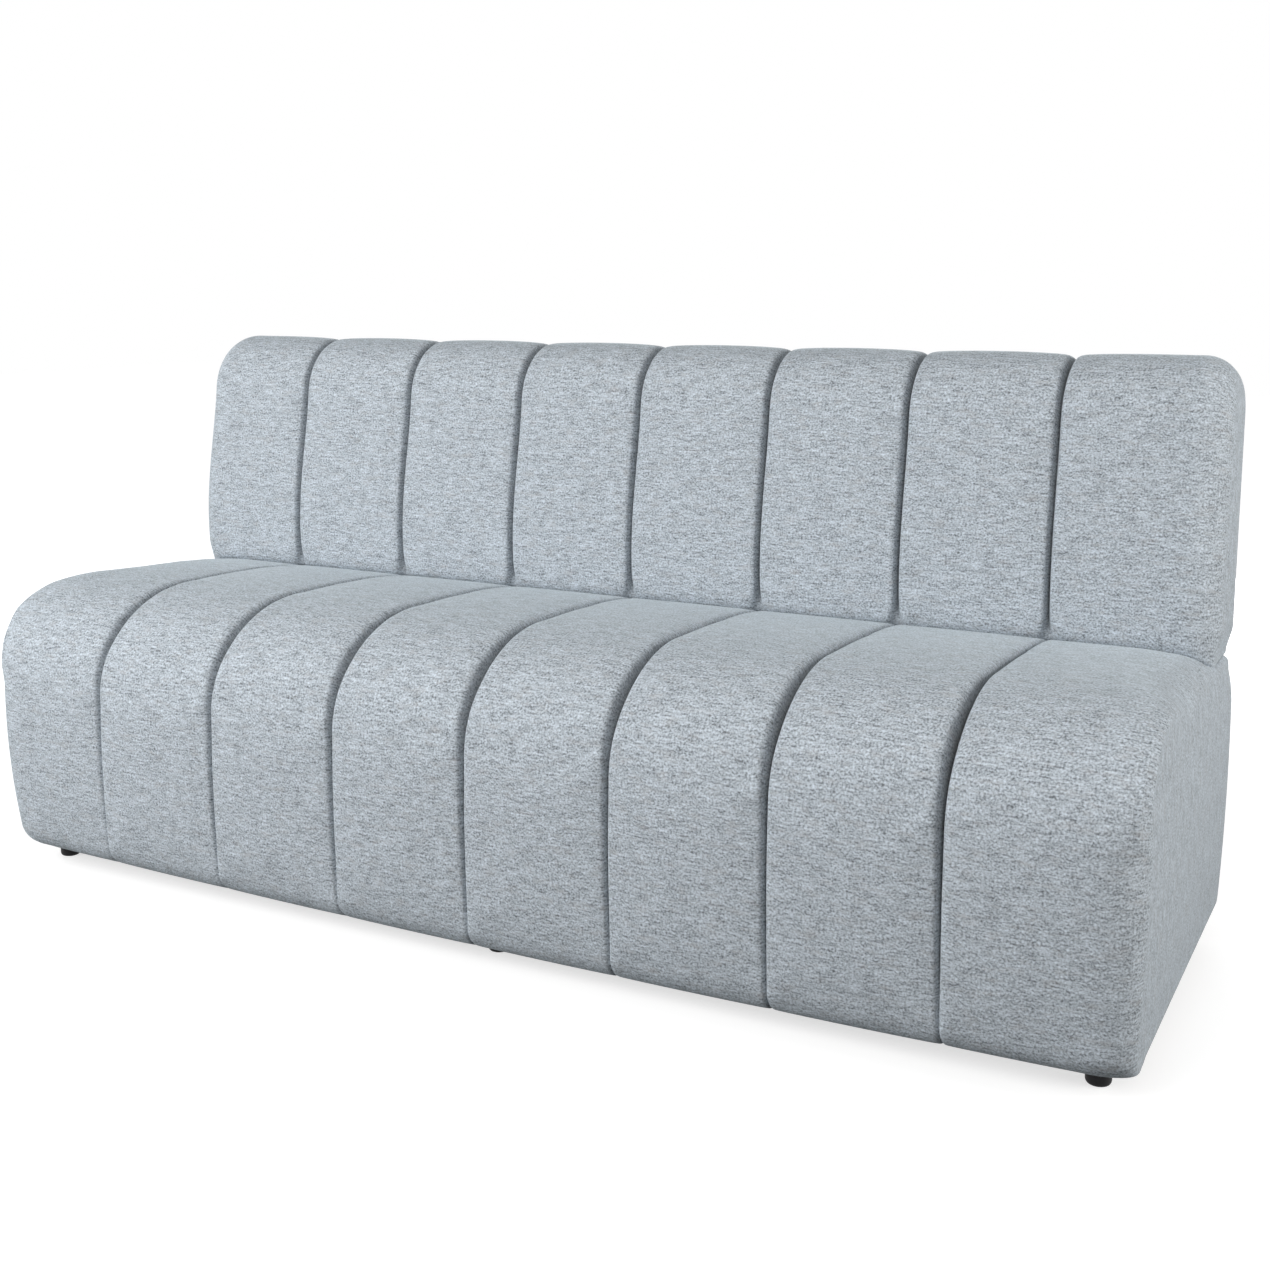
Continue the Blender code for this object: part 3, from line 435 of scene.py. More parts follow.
def seat_section(pad, hem, rear_pad):
    """The seat's section in depth and height, a pad's depth under its sewn lines.

    Parts: 0 hem, 1 bottom roll, 2 front, 3 rolled edge, 4 deck, 5 under the back, 6 post slots, 7 to the
    rear edge, 8 rear edge, 9 rear, 10 rear hem edge, 11 rear hem, 12 hem opening. The deck falls by a power
    of the distance from the rolled edge, and then straight at the slope of the back's foot.
    """
    bottom = FLOOR_GAP + hem
    rear = SEAT_REAR - rear_pad
    low_roll = BOTTOM_ROLL - pad * LINING_ROLL_LOSS
    rear_roll = max(REAR_EDGE - 3 * pad, LEAST_ROLL)
    hem_roll = max(REAR_HEM_EDGE - 3 * pad, LEAST_ROLL)
    top = SEAT_HEIGHT - pad

    def under_back(depth):
        return (depth, top - SEAT_FALL - (depth - SITTING_DEPTH) * np.tan(LEAN))

    deck_y = line(ROLL_DEPTH, SITTING_DEPTH, 34)
    fall = SEAT_FALL * ((deck_y - ROLL_DEPTH) / (SITTING_DEPTH - ROLL_DEPTH)) ** FALL_POWER
    rear_top = under_back(rear - rear_roll)
    parts = [
        line((HEM_FRONT, bottom), (pad + low_roll, bottom), 4),
        arc((pad + low_roll, bottom + low_roll), (low_roll, low_roll), 270, 180, 8),
        line((pad, bottom + low_roll), (pad, DECK), 28),
        arc((ROLL_DEPTH, DECK), (ROLL_DEPTH - pad, ROLL_HEIGHT - pad), 180, 90, 38),
        np.column_stack((deck_y, top - fall)),
        line(under_back(SITTING_DEPTH), under_back(SLOT_FRONT), 8),
        line(under_back(SLOT_FRONT), under_back(SLOT_REAR), 4),
        line(under_back(SLOT_REAR), rear_top, 2),
        arc((rear - rear_roll, rear_top[1] - rear_roll), (rear_roll, rear_roll), 90, 0, 5),
        line((rear, rear_top[1] - rear_roll), (rear, bottom + hem_roll), 30),
        arc((rear - hem_roll, bottom + hem_roll), (hem_roll, hem_roll), 0, -90, 4),
        line((rear - hem_roll, bottom), (HEM_REAR, bottom), 2),
        line((HEM_REAR, bottom), (HEM_FRONT, bottom), 12),
    ]
    return along_rows(parts)


def ring_normals(ring):
    """Unit normals of a closed ring in depth and height, square to the line through a point's neighbours."""
    along = np.roll(ring, -1, axis=0) - np.roll(ring, 1, axis=0)
    normal = np.column_stack((-along[:, 1], along[:, 0]))
    return normal / np.linalg.norm(normal, axis=1, keepdims=True)


def channel_columns(half, end_roll, edges):
    """Places across the sofa: close together beside each sewn line, then round the roll at each end.

    The column nearest to each wanted edge is moved onto it.
    """
    beside = np.array([0, 0.4, 1.0, 2.0, 3.3, 5.0, 7.3, 10.5, 15, 21, 29, 40, 54, 72, 92, 112.5]) / 1000
    inner = np.unique(np.round(np.add.outer(SEWN_LINES, np.r_[-beside, beside]).ravel(), 6))
    turn = np.sin(np.radians(np.linspace(0, 90, 31)))
    outer = np.r_[np.linspace(inner[-1], half - end_roll, 9)[1:-1], half - end_roll + end_roll * turn]
    columns = np.r_[-outer[::-1], inner, outer]
    for edge in edges:
        columns[np.abs(columns - edge).argmin()] = edge
    return columns


BOTTOM_BEND = 0.15
WALL_BEND = 0.5
SHOULDER = 0.016
SHOULDER_SHARE = 0.16


def channel_depth(columns, keys, groove, *tables):
    """How deep the cloth lies under its crown, columns by rows, from tables of wall, flare and dome by row.

    Two hyperbolas join the groove's bottom to its sloping wall and the wall to the shoulder, a quarter
    round softens the shoulder, and another over the whole half channel makes the dome.
    """
    wall, flare, dome = (np.interp(keys, *table) for table in tables)
    away = np.abs(columns[:, None] - SEWN_LINES).min(axis=1)[:, None]

    def bent(climb):
        return np.hypot(climb, BOTTOM_BEND) - np.hypot(climb - 1, WALL_BEND)

    start = bent(-flare / wall)
    steep = (bent((away - flare) / wall) - start) / (1 - start)
    round_over = np.sqrt(1 - (1 - np.clip(away / SHOULDER, 0, 1)) ** 2)
    wide = np.sqrt(1 - (1 - np.clip(away / (PITCH / 2), 0, 1)) ** 2)
    return groove * (1 - steep + SHOULDER_SHARE * (steep - round_over)) + dome * (1 - wide)


SEAT_CROWN = ([0, 1, 2, 3, 3.25, 3.5, 3.75, 4, 4.3, 4.57, 5, 13],
              [0, 0, 0.014, 0.014, 0.0187, 0.020, 0.0167, 0.011, 0.0095, 0.0075, 0.0005, 0.0005])
SEAT_GROOVE = ([0, 1, 1.4, 2, 2.35, 2.7, 3, 3.25, 3.5, 3.75, 4, 4.3, 4.57, 4.85, 5, 5.3, 13],
               [0, 0, 0.003, 0.006, 0.012, 0.018, 0.024, 0.029, 0.031, 0.028, 0.0225, 0.0205, 0.017, 0.010,
                0.002, 0.0005, 0])
SEAT_WALL = ([0, 2, 2.35, 2.7, 3, 3.25, 3.5, 3.75, 4, 4.3, 5, 13],
             [0.0030, 0.0030, 0.0031, 0.0033, 0.0039, 0.0060, 0.0076, 0.0066, 0.0048, 0.0042, 0.0035, 0.0035])
LINE_KEYS = [1, 2, 2.3, 3.15, 3.4, 3.85, 4.1, 4.4, 4.8, 5]
LINE_SHARES = np.array([
    [0.30, 0.30, 0.30, 0.50, 0.80, 0.70, 0.45, 0.35, 0.50, 1],
    [0.35, 0.35, 0.60, 0.55, 0.72, 0.75, 0.75, 0.60, 0.60, 1],
    [0.40, 0.40, 0.75, 0.70, 0.88, 1.00, 1.00, 0.95, 0.70, 1],
    [0.60, 0.60, 0.80, 0.78, 1.05, 1.02, 1.05, 1.00, 0.75, 1],
    [0.75, 0.75, 0.90, 0.72, 0.98, 0.95, 1.05, 1.10, 1.00, 1],
    [1.00, 1.00, 0.95, 0.76, 0.92, 0.95, 1.10, 1.12, 1.10, 1],
    [0.90, 0.90, 1.05, 0.90, 0.96, 0.96, 1.10, 1.12, 1.15, 1]])
SEAT_FLARE = ([0, 13], [0, 0])
SEAT_DOME = ([0, 1, 2, 3, 4, 5, 13], [0, 0, 0.0015, 0.003, 0.003, 0.001, 0])


def line_strength(columns, keys):
    """How strongly each sewn line draws the cloth in, columns by rows: its own shares along the section."""
    nearest = np.abs(columns[:, None] - SEWN_LINES).argmin(axis=1)
    return np.array([np.interp(keys, LINE_KEYS, shares) for shares in LINE_SHARES])[nearest]


def roll_share(columns, half, end_roll):
    """Share of the end roll at each column: one less the cosine of the angle round it."""
    sine = np.clip((np.abs(columns) - half + end_roll) / end_roll, 0, 1)
    return 1 - np.sqrt(1 - sine ** 2)


def smooth_step(values, start, end):
    """0 before start, 1 after end, with a cubic ease between."""
    share = np.clip((values - start) / (end - start), 0, 1)
    return share * share * (3 - 2 * share)


LEFT_LOW_DRAW = (0.024, 0.042)
RIGHT_LOW_DRAW = (0.022, 0.030)
ROLL_DRAW = ([3, 3.25, 3.5, 3.75, 4], [SEAT_END_ROLL, 0.030, 0.014, 0.014, 0.028])
DECK_DRAW = ([4, 4.3, 4.57, 5, 6, 9, 10, 13],
             [-0.028, -0.040, -0.036, -0.014, -REAR_END_ROLL, -REAR_END_ROLL,
              BOTTOM_END_ROLL, BOTTOM_END_ROLL])


def seat_draw(ring, keys, low_draw):
    """How far an end draws each row of the seat in, in depth and height: towards the roll's centre."""
    depth = np.interp(keys, [0, 1, 2, 3], [0, *low_draw, SEAT_END_ROLL])
    height = np.interp(keys, [0, 1, 2, 3], [BOTTOM_END_ROLL, BOTTOM_END_ROLL, BOTTOM_END_ROLL / 2, 0])
    rolled = (keys >= 3) & (keys < 4)
    inward = np.interp(keys, *ROLL_DRAW)
    depth = np.where(rolled, -inward * (ring[:, 0] - ROLL_DEPTH) / ROLL_DEPTH, depth)
    height = np.where(rolled, -inward * (ring[:, 1] - DECK) / ROLL_HEIGHT, height)
    rear_inset = INSET_SHARE * REAR_EDGE
    hem_inset = INSET_SHARE * REAR_HEM_EDGE
    behind = keys >= 4
    depth = np.where(behind, np.interp(keys, [4, 5, 8, 9, 10, 11, 12, 13],
                                       [0, 0, -rear_inset, -rear_inset, -hem_inset, -hem_inset, 0, 0]), depth)
    height = np.where(behind, np.interp(keys, *DECK_DRAW), height)
    return np.column_stack((depth, height))


seat_columns = channel_columns(SEAT_HALF, SEAT_END_ROLL, [
    *np.add.outer(POST_PLACES, (-POST_HALF, POST_HALF)).ravel(), -HEM_END - LEFT_PULL, HEM_END + RIGHT_PULL])
seat_ring, seat_keys = seat_section(0.0, 0.0, 0.0)


def drawn_skin(columns, ring, keys, half, end_roll, draw, crown, depth):
    """The cloth's outer face: each row's sewn line, drawn in at the ends and pushed out along its normal by
    the crown less the channel's depth. Columns by rows by three."""
    normal = ring_normals(ring)
    out = np.interp(keys, *crown) - depth
    share = roll_share(columns, half, end_roll)[:, None, None]
    section = ring + draw * share + normal * out[:, :, None]
    place = np.broadcast_to(columns[:, None, None], section.shape[:2] + (1,))
    return np.concatenate((place, section), axis=2)


END_DROOP = 0.016
DROOP_START = 0.79
DROOP_SHARE = ([3.6, 4, 4.3, 4.7, 5, 5.5, 6, 9, 10], [0, 0.3, 1, 1, 0.7, 0.5, 0.2, 0.1, 0])
DECK_BULGE = 0.0045
BULGE_TILT = 0.0017
BULGE_SHARE = ([4.5, 4.8, 5, 5.125], [0, 0.8, 1, 0])
LOW_DROP = 0.005
FRONT_SAG = 0.0095
SAG_HALF = 0.85
FRONT_TUCK = 0.016
TUCK_HEIGHT = 0.27
TUCK_SHARE = ([0, 1, 3.4, 3.5], [0, 1, 1, 0])
HEM_LEAST = 0.001
HEM_SPREAD = 0.025
SAG_SHARE = ([0, 0.6, 2, 2.6, 12.6, 13], [0.3, 1, 1, 0, 0, 0.3])
PULL_START = 0.7875
CREASE = 0.0045
CREASE_TURN = np.radians(50.0)
CREASE_WIDTH = np.radians(4.0)
CREASE_SHARE = ([3.0, 3.1, 3.45, 3.65], [0, 1, 0.7, 0])
LEFT_SWELL = 0.006
SWELL_START = 0.84
SWELL_SHARE = ([3.2, 3.45, 3.8, 4.1], [0, 1, 0.6, 0])
TOP_PINCH = 0.006
PINCH_START = 0.86
PINCH_SHARE = ([4.5, 4.9, 9, 9.05, 9.12], [0, 1, 1, 0.4, 0])


def end_droop(columns):
    """How far the top sinks towards the ends: the square of the distance past the droop's start."""
    return END_DROOP * np.clip((np.abs(columns) - DROOP_START) / (SEAT_HALF - DROOP_START), 0, 1) ** 2


def pull_seat_ends(skin, columns, ring, keys):
    """Shapes the seat's skin as the cloth falls.

    Tucks the front in towards the hem by the square of the height left, lets the top droop at the ends and
    the front's lower edge sag between them, lifts the top before the back, pinches the ends under the back,
    swells the left end of the rolled edge, and puts a crease round each front corner: a hollow and a ridge
    side by side, the angle from the crease times a bell curve of it.
    """
    side = np.sign(columns)
    away = np.abs(columns)
    skin[:, :, 2] -= end_droop(columns)[:, None] * np.interp(keys, *DROOP_SHARE)
    under = np.clip((TUCK_HEIGHT - skin[:, :, 2]) / (TUCK_HEIGHT - FLOOR_GAP), 0, 1)
    skin[:, :, 1] += FRONT_TUCK * np.interp(keys, *TUCK_SHARE) * under ** 2
    roll_start = skin[:, [row_of(keys, 1)], 1]
    spread = HEM_LEAST + HEM_SPREAD * smooth_step(away, HEM_END + LEFT_PULL, SEAT_HALF)
    hem_start = np.maximum(HEM_FRONT, roll_start + spread[:, None])
    skin[:, keys < 1, 1] = hem_start + (roll_start - hem_start) * keys[keys < 1]
    sag = FRONT_SAG * np.clip(1 - (columns / SAG_HALF) ** 2, 0, 1)
    skin[:, :, 2] -= (sag[:, None] + LOW_DROP) * np.interp(keys, *SAG_SHARE)
    skin[:, :, 2] += (DECK_BULGE + BULGE_TILT * columns)[:, None] * np.interp(keys, *BULGE_SHARE)
    pinch = side * TOP_PINCH * smooth_step(away, PINCH_START, SEAT_HALF)
    skin[:, :, 0] -= pinch[:, None] * np.interp(keys, *PINCH_SHARE)
    swell = LEFT_SWELL * smooth_step(-columns, SWELL_START, SEAT_HALF)
    skin[:, :, 0] -= swell[:, None] * np.interp(keys, *SWELL_SHARE)
    turn = np.arcsin(np.clip((away - SEAT_HALF + SEAT_END_ROLL) / SEAT_END_ROLL, 0, 1))[:, None]
    across = (turn - CREASE_TURN) / CREASE_WIDTH
    crease = CREASE * across * np.exp(-across ** 2) * np.interp(keys, *CREASE_SHARE)
    skin[:, :, 0] += crease * np.sin(turn) * side[:, None]
    skin[:, :, 1:] += (crease * np.cos(turn))[:, :, None] * ring_normals(ring)
    return skin


left_draw = seat_draw(seat_ring, seat_keys, LEFT_LOW_DRAW)
right_draw = seat_draw(seat_ring, seat_keys, RIGHT_LOW_DRAW)
seat_draws = np.where((seat_columns < 0)[:, None, None], left_draw, right_draw)
seat_groove = np.interp(seat_keys, *SEAT_GROOVE) * line_strength(seat_columns, seat_keys)
seat_depth = channel_depth(seat_columns, seat_keys, seat_groove, SEAT_WALL, SEAT_FLARE, SEAT_DOME)
seat_skin = drawn_skin(seat_columns, seat_ring, seat_keys, SEAT_HALF, SEAT_END_ROLL,
                       seat_draws, SEAT_CROWN, seat_depth)
seat_skin = pull_seat_ends(seat_skin, seat_columns, seat_ring, seat_keys)


SWELL_CELL = 0.0045
SWELL_FRAMES = 20
SWELL_PRESSURE = 4.0
SWELL_STRETCH = 110.0
SWELL_BEND = 10.0
SWELL_MASS = 0.3
SWELL_QUALITY = 6
SWELL_CAP = 0.004
SWELL_EASE = 0.045
SWELL_EASE_ROWS = 8
SEAT_LOW = ([1.3, 2, 2.9, 3.3, 3.7, 4.1, 4.95], [0.003, 0.004, 0.003, 0, 0, 0.003, 0.003])
SEAT_SPAN = (1.3, 4.95)


def swollen(skin, columns, ring, keys, half, span, lower):
    """The cloth as its wadding fills it, by cloth simulation.

    A copy of the skin, with no columns closer than a cell, starts a little lower than the skin. Its sewn
    lines, ends and first and last rows are held, and pressure swells the rest. The skin follows the copy,
    column by column, by no more than the cap.
    """
    away = np.abs(columns[:, None] - SEWN_LINES).min(axis=1)
    taken = np.flatnonzero(((away < TOUCH) | (away > SWELL_CELL)) & (np.abs(columns) < half))
    rows = np.flatnonzero((keys >= span[0]) & (keys <= span[1]))
    rest = skin[np.ix_(taken, rows)]
    free_columns = away[taken] > TOUCH
    free_columns[[0, -1]] = False
    free_rows = np.ones(len(rows), dtype=bool)
    free_rows[[0, 1, -2, -1]] = False
    from_edge = np.minimum(away[taken], half - np.abs(columns[taken]))
    from_end = np.minimum(np.arange(len(rows)), np.arange(len(rows))[::-1])
    eased = smooth_step(from_edge, 0, SWELL_EASE)[:, None] * smooth_step(from_end, 1, SWELL_EASE_ROWS)
    sunk = eased * np.interp(keys[rows], *lower)
    start = rest.copy()
    start[:, :, 1:] -= sunk[:, :, None] * ring_normals(ring)[rows]
    cells = ring_cells(len(taken), len(rows))[:, :-1].reshape(-1, 4)
    mesh = bpy.data.meshes.new("swelling_cloth")
    mesh.from_pydata(start.reshape(-1, 3), [], cells.tolist())
    cloth = add_object("swelling_cloth", mesh)
    held = cloth.vertex_groups.new(name="held")
    held.add(np.flatnonzero(~(free_columns[:, None] & free_rows)).tolist(), 1.0, "REPLACE")
    swell = cloth.modifiers.new("swell", "CLOTH")
    swell.settings.quality = SWELL_QUALITY
    swell.settings.mass = SWELL_MASS
    swell.settings.tension_stiffness = SWELL_STRETCH
    swell.settings.compression_stiffness = SWELL_STRETCH
    swell.settings.shear_stiffness = SWELL_STRETCH / 3
    swell.settings.bending_stiffness = SWELL_BEND
    swell.settings.vertex_group_mass = "held"
    swell.settings.use_pressure = True
    swell.settings.uniform_pressure_force = SWELL_PRESSURE
    swell.settings.effector_weights.gravity = 0.0
    swell.collision_settings.use_collision = False
    swell.point_cache.frame_start = 1
    swell.point_cache.frame_end = SWELL_FRAMES
    for step in range(1, SWELL_FRAMES + 1):
        bpy.context.scene.frame_set(step)
    swelled = cloth.evaluated_get(bpy.context.evaluated_depsgraph_get())
    points = np.empty(start.size, dtype=np.float32)
    swelled.data.vertices.foreach_get("co", points)
    moved = points.reshape(start.shape) - rest
    size = np.linalg.norm(moved, axis=2, keepdims=True)
    moved *= np.minimum(1, SWELL_CAP / np.maximum(size, 1e-9))
    bpy.data.objects.remove(cloth)
    bpy.data.meshes.remove(mesh)
    bpy.context.scene.frame_set(1)
    places = columns[taken]
    after = np.clip(np.searchsorted(places, columns, side="right"), 1, len(places) - 1)
    share = np.clip((columns - places[after - 1]) / (places[after] - places[after - 1]), 0, 1)[:, None, None]
    follow = np.zeros_like(skin)
    follow[:, rows] = moved[after - 1] * (1 - share) + moved[after] * share
    return skin + follow


seat_skin = swollen(seat_skin, seat_columns, seat_ring, seat_keys, SEAT_HALF - SEAT_END_ROLL,
                    SEAT_SPAN, SEAT_LOW)

CAP_SHARES = np.array([0.985, 0.955, 0.91, 0.84, 0.74, 0.62, 0.48, 0.33, 0.18, 0.07])
CAP_FADE = 4
END_BULGE = 0.004


def capped(skin):
    """Adds the end faces to a skin: rings shrunk towards the middle of each end.

    They stand out by a bulge that grows as the square of their share shrinks, and what the edge departs
    from its middle plane fades out by a power of that share.
    """
    ends = skin[[0, -1]]
    middle = ends.mean(axis=1, keepdims=True)
    share = CAP_SHARES[:, None, None, None]
    rings = middle + (ends - middle) * share
    plane = np.median(ends[..., 0], axis=1, keepdims=True)
    rings[..., 0] = plane + (ends[..., 0] - plane) * share[..., 0] ** CAP_FADE
    rings[..., 0] += np.array([-END_BULGE, END_BULGE])[:, None] * (1 - share[..., 0] ** 2)
    return np.concatenate((rings[::-1, 0], skin, rings[:, 1]))


def pull_low_ends(outer):
    """Pulls each end in towards the hem by the square of the share of the height that is left."""
    low_share = np.clip((DECK - outer[..., 2]) / (DECK - FLOOR_GAP), 0, 1)
    pull = np.where(outer[..., 0] < 0, -LEFT_PULL, RIGHT_PULL)
    eased = smooth_step(np.abs(outer[..., 0]), PULL_START, SEAT_HALF - SEAT_END_ROLL)
    outer[..., 0] -= pull * eased * low_share ** 2
    return outer


seat_outer = pull_low_ends(capped(seat_skin))


def make_lining(columns, ring, half, lining_half, straight_half, recess, recess_half):
    """The cover's inner face, on the same grid as the outer one: a plain section along the sofa, with a
    recess in each end. The seat's recess takes its end foam, and the back's is only a hair deep."""
    inside = np.interp(columns, [-half, -straight_half, straight_half, half],
                       [-lining_half, -straight_half, straight_half, lining_half])
    body = np.empty((len(columns), len(ring), 3))
    body[:, :, 0] = inside[:, None]
    body[:, :, 1:] = ring
    pocket = ring - ring_normals(ring) * recess
    middle = pocket.mean(axis=0)
    shares = np.r_[1.0, 1.0, CAP_SHARES[2:]]
    end = np.empty((len(shares), len(ring), 3))
    end[:, :, 0] = np.r_[lining_half, np.full(len(shares) - 1, recess_half)][:, None]
    end[:, :, 1:] = middle + (pocket - middle) * shares[:, None, None]
    mirrored = end[::-1] * (-1, 1, 1)
    return np.concatenate((mirrored, body, end))


seat_lining_ring, _ = seat_section(WADDING, HEM_THICKNESS, REAR_WADDING)
seat_lining = make_lining(seat_columns, seat_lining_ring, SEAT_HALF, SEAT_LINING_HALF, SEAT_LINING_STRAIGHT,
                          END_RECESS, END_RECESS_HALF)


def column_span(columns, low, high):
    """First and last number, in a capped skin, of the columns from low to high."""
    found = np.flatnonzero((columns > low - TOUCH) & (columns < high + TOUCH))
    return len(CAP_SHARES) + found[0], len(CAP_SHARES) + found[-1]


def ring_edge(columns, rows, count):
    """Grid numbers round a rectangular opening, anticlockwise as seen from outside."""
    (left, right), (low, high) = columns, rows
    across = np.arange(left, right + 1)
    up = np.arange(low, high + 1)
    column = np.r_[across[:-1], np.full(len(up) - 1, right), across[:0:-1], np.full(len(up) - 1, left)]
    row = np.r_[np.full(len(across) - 1, low), up[:-1], np.full(len(across) - 1, high), up[:0:-1]]
    return column * count + row % count


def cover_mesh(name, outer, lining, openings, flat, flat_fans, depth, material):
    """A closed cover: outer face, lining, and a wall between them round each opening.

    Openings are (columns, rows) spans of the grid. Flat gives where each cell's corners lie on the cloth,
    and flat_fans the corners of the triangles in the middle of each end. Depth, of each column and row
    under the crown, is kept on the points for the cloth's painted shade in the grooves.
    """
    columns, count = outer.shape[:2]
    cells = ring_cells(columns, count)
    keep = np.ones(cells.shape[:2], dtype=bool)
    for (left, right), (low, high) in openings:
        keep[left:right, low:high] = False
    total = columns * count
    poles = np.array([ring.mean(axis=0) for ring in (outer[0], outer[-1], lining[0], lining[-1])])
    points = np.concatenate((outer.reshape(-1, 3), lining.reshape(-1, 3), poles))
    skin = cells[keep]
    inner = skin[:, ::-1] + total
    corner = flat[keep]
    row = np.arange(count)
    after = (row + 1) % count
    far = (columns - 1) * count
    pole = np.full(count, 2 * total)
    fans = np.concatenate((np.column_stack((pole, row, after)),
                           np.column_stack((far + row, pole + 1, far + after)),
                           np.column_stack((pole + 2, total + after, total + row)),
                           np.column_stack((total + far + row, total + far + after, pole + 3))))
    walls = []
    for spans in openings:
        edge = ring_edge(*spans, count)
        following = np.roll(edge, -1)
        walls.append(np.column_stack((following, edge, edge + total, following + total)))
    walls = np.concatenate(walls)
    quads = np.concatenate((skin, inner, walls))
    used = np.unique(np.r_[quads.ravel(), fans.ravel()])
    renumber = np.zeros(len(points), dtype=int)
    renumber[used] = np.arange(len(used))
    uv = np.concatenate((corner.reshape(-1, 2), corner[:, ::-1].reshape(-1, 2), np.zeros((4 * len(walls), 2)),
                         flat_fans, flat_fans))
    cover = new_piece(name, points[used], renumber[quads].tolist() + renumber[fans].tolist(), material, uv)
    # The depth is kept on the points for the cloth's painted shade in the grooves.
    painted_shade_depth = np.zeros(len(points), dtype=np.float32)
    painted_shade_depth[:total] = np.pad(depth, ((len(CAP_SHARES), len(CAP_SHARES)), (0, 0))).ravel()
    cover.data.attributes.new("painted_shade_depth", "FLOAT", "POINT").data.foreach_set("value", painted_shade_depth[used])
    return cover


CUT_SPREAD = 1.3
END_SHIFT = 1.8


def flat_cloth(outer, columns, ring, start):
    """Where each cell's corners lie on the flat cloth, in metres.

    That is the length along the cloth from the crown of the cell's own channel, by the length along the
    section from the row at start. On the ends it is height by depth. Gives the cells' corners, and those of
    the triangles in the middle of each end.
    """
    caps = len(CAP_SHARES)
    closed = np.concatenate((outer, outer[:, :1]), axis=1)
    steps = np.linalg.norm(np.diff(closed[caps:-caps], axis=0), axis=2)
    across = np.concatenate((np.zeros_like(steps[:1]), steps.cumsum(axis=0)))
    crowns = PITCH * (np.arange(CHANNELS) - (CHANNELS - 1) / 2)
    crown_column = np.abs(columns[:, None] - crowns).argmin(axis=0)
    channel = np.floor((columns[:-1] + columns[1:]) / 2 / PITCH).astype(int) + CHANNELS // 2
    channel = np.clip(channel, 0, CHANNELS - 1)
    from_crown = (CUT_SPREAD * crowns)[channel][:, None] - across[crown_column[channel]]
    near, far = across[:-1] + from_crown, across[1:] + from_crown
    length = np.r_[0, np.linalg.norm(np.diff(np.vstack((ring, ring[:1])), axis=0), axis=1).cumsum()]
    length = np.broadcast_to(length - length[start] + ring[start, 1], near.shape)
    ends = np.stack((closed[:, :, 2] + np.sign(closed[:, :, 0]) * END_SHIFT, closed[:, :, 1]), axis=-1)

    def corners(first, second):
        return np.stack((first[:, :-1], second[:, :-1], second[:, 1:], first[:, 1:]), axis=2)

    sides = np.stack((corners(near, far), corners(length, length)), axis=-1)
    first, last = ends[0], ends[-1]
    fans = np.concatenate((
        np.stack((np.broadcast_to(first[:-1].mean(axis=0), first[1:].shape), first[:-1], first[1:]), axis=1),
        np.stack((last[:-1], np.broadcast_to(last[:-1].mean(axis=0), last[1:].shape), last[1:]), axis=1)))
    ends = corners(ends[:-1], ends[1:])
    return np.concatenate((ends[:caps], sides, ends[-caps:])), fans.reshape(-1, 2)


HEATHER_DEEP = (0.120, 0.132, 0.144, 1.0)
HEATHER_MID = (0.333, 0.368, 0.402, 1.0)
HEATHER_LIGHT = (0.489, 0.540, 0.590, 1.0)
HEATHER_PALE = (0.669, 0.739, 0.807, 1.0)
HEATHER_BROWN = (0.375, 0.362, 0.355, 1.0)
# Painted shade in the grooves: this dark brown is mixed in as the cloth lies deeper under its crown.
GROOVE_PAINTED_SHADE = (0.110, 0.102, 0.096, 1.0)
SHEEN_BLUE = (0.84, 0.95, 1.0, 1.0)
SHADE_DEPTH_START = 0.005
SHADE_DEPTH_END = 0.028
SHADE_MOST_SHARE = 0.6


def make_heather():
    """Brushed heather cloth: flecks and streaks along the weft, clouds and a fine nap, partly browner."""
    group, given, result = new_group(
        "heather_cloth", [("Vector", "NodeSocketVector")],
        [("Color", "NodeSocketColor"), ("Height", "NodeSocketFloat")])
    place = given.outputs["Vector"]
    flecks = stretched_noise(group, place, (330.0, 410.0, 1.0), 1.5, 0.5, 0.3)
    streaks = stretched_noise(group, place, (64.0, 320.0, 1.0), 1.5, 0.6, 0.45)
    clouds = stretched_noise(group, place, (24.0, 75.0, 1.0), 2.0, 0.6)
    nap = stretched_noise(group, place, (800.0, 1700.0, 1.0), 1.0, 0.7)
    tone = add_math(group, "MULTIPLY", flecks, 0.47)
    for noise, share in ((streaks, 0.27), (clouds, 0.12), (nap, 0.14)):
        tone = add_math(group, "MULTIPLY_ADD", noise, share, tone)
    colour = add_ramp(group, tone, [
        (0.36, HEATHER_DEEP), (0.467, HEATHER_MID), (0.545, HEATHER_LIGHT), (0.67, HEATHER_PALE)])
    brown = stretched_noise(group, place, (30.0, 90.0, 1.0), 3.0, 0.65)
    mixed = add_mix(group, add_range(group, brown, 0.52, 0.78, high=0.45), colour, HEATHER_BROWN)
    group.links.new(mixed, result.inputs["Color"])
    group.links.new(tone, result.inputs["Height"])
    return group


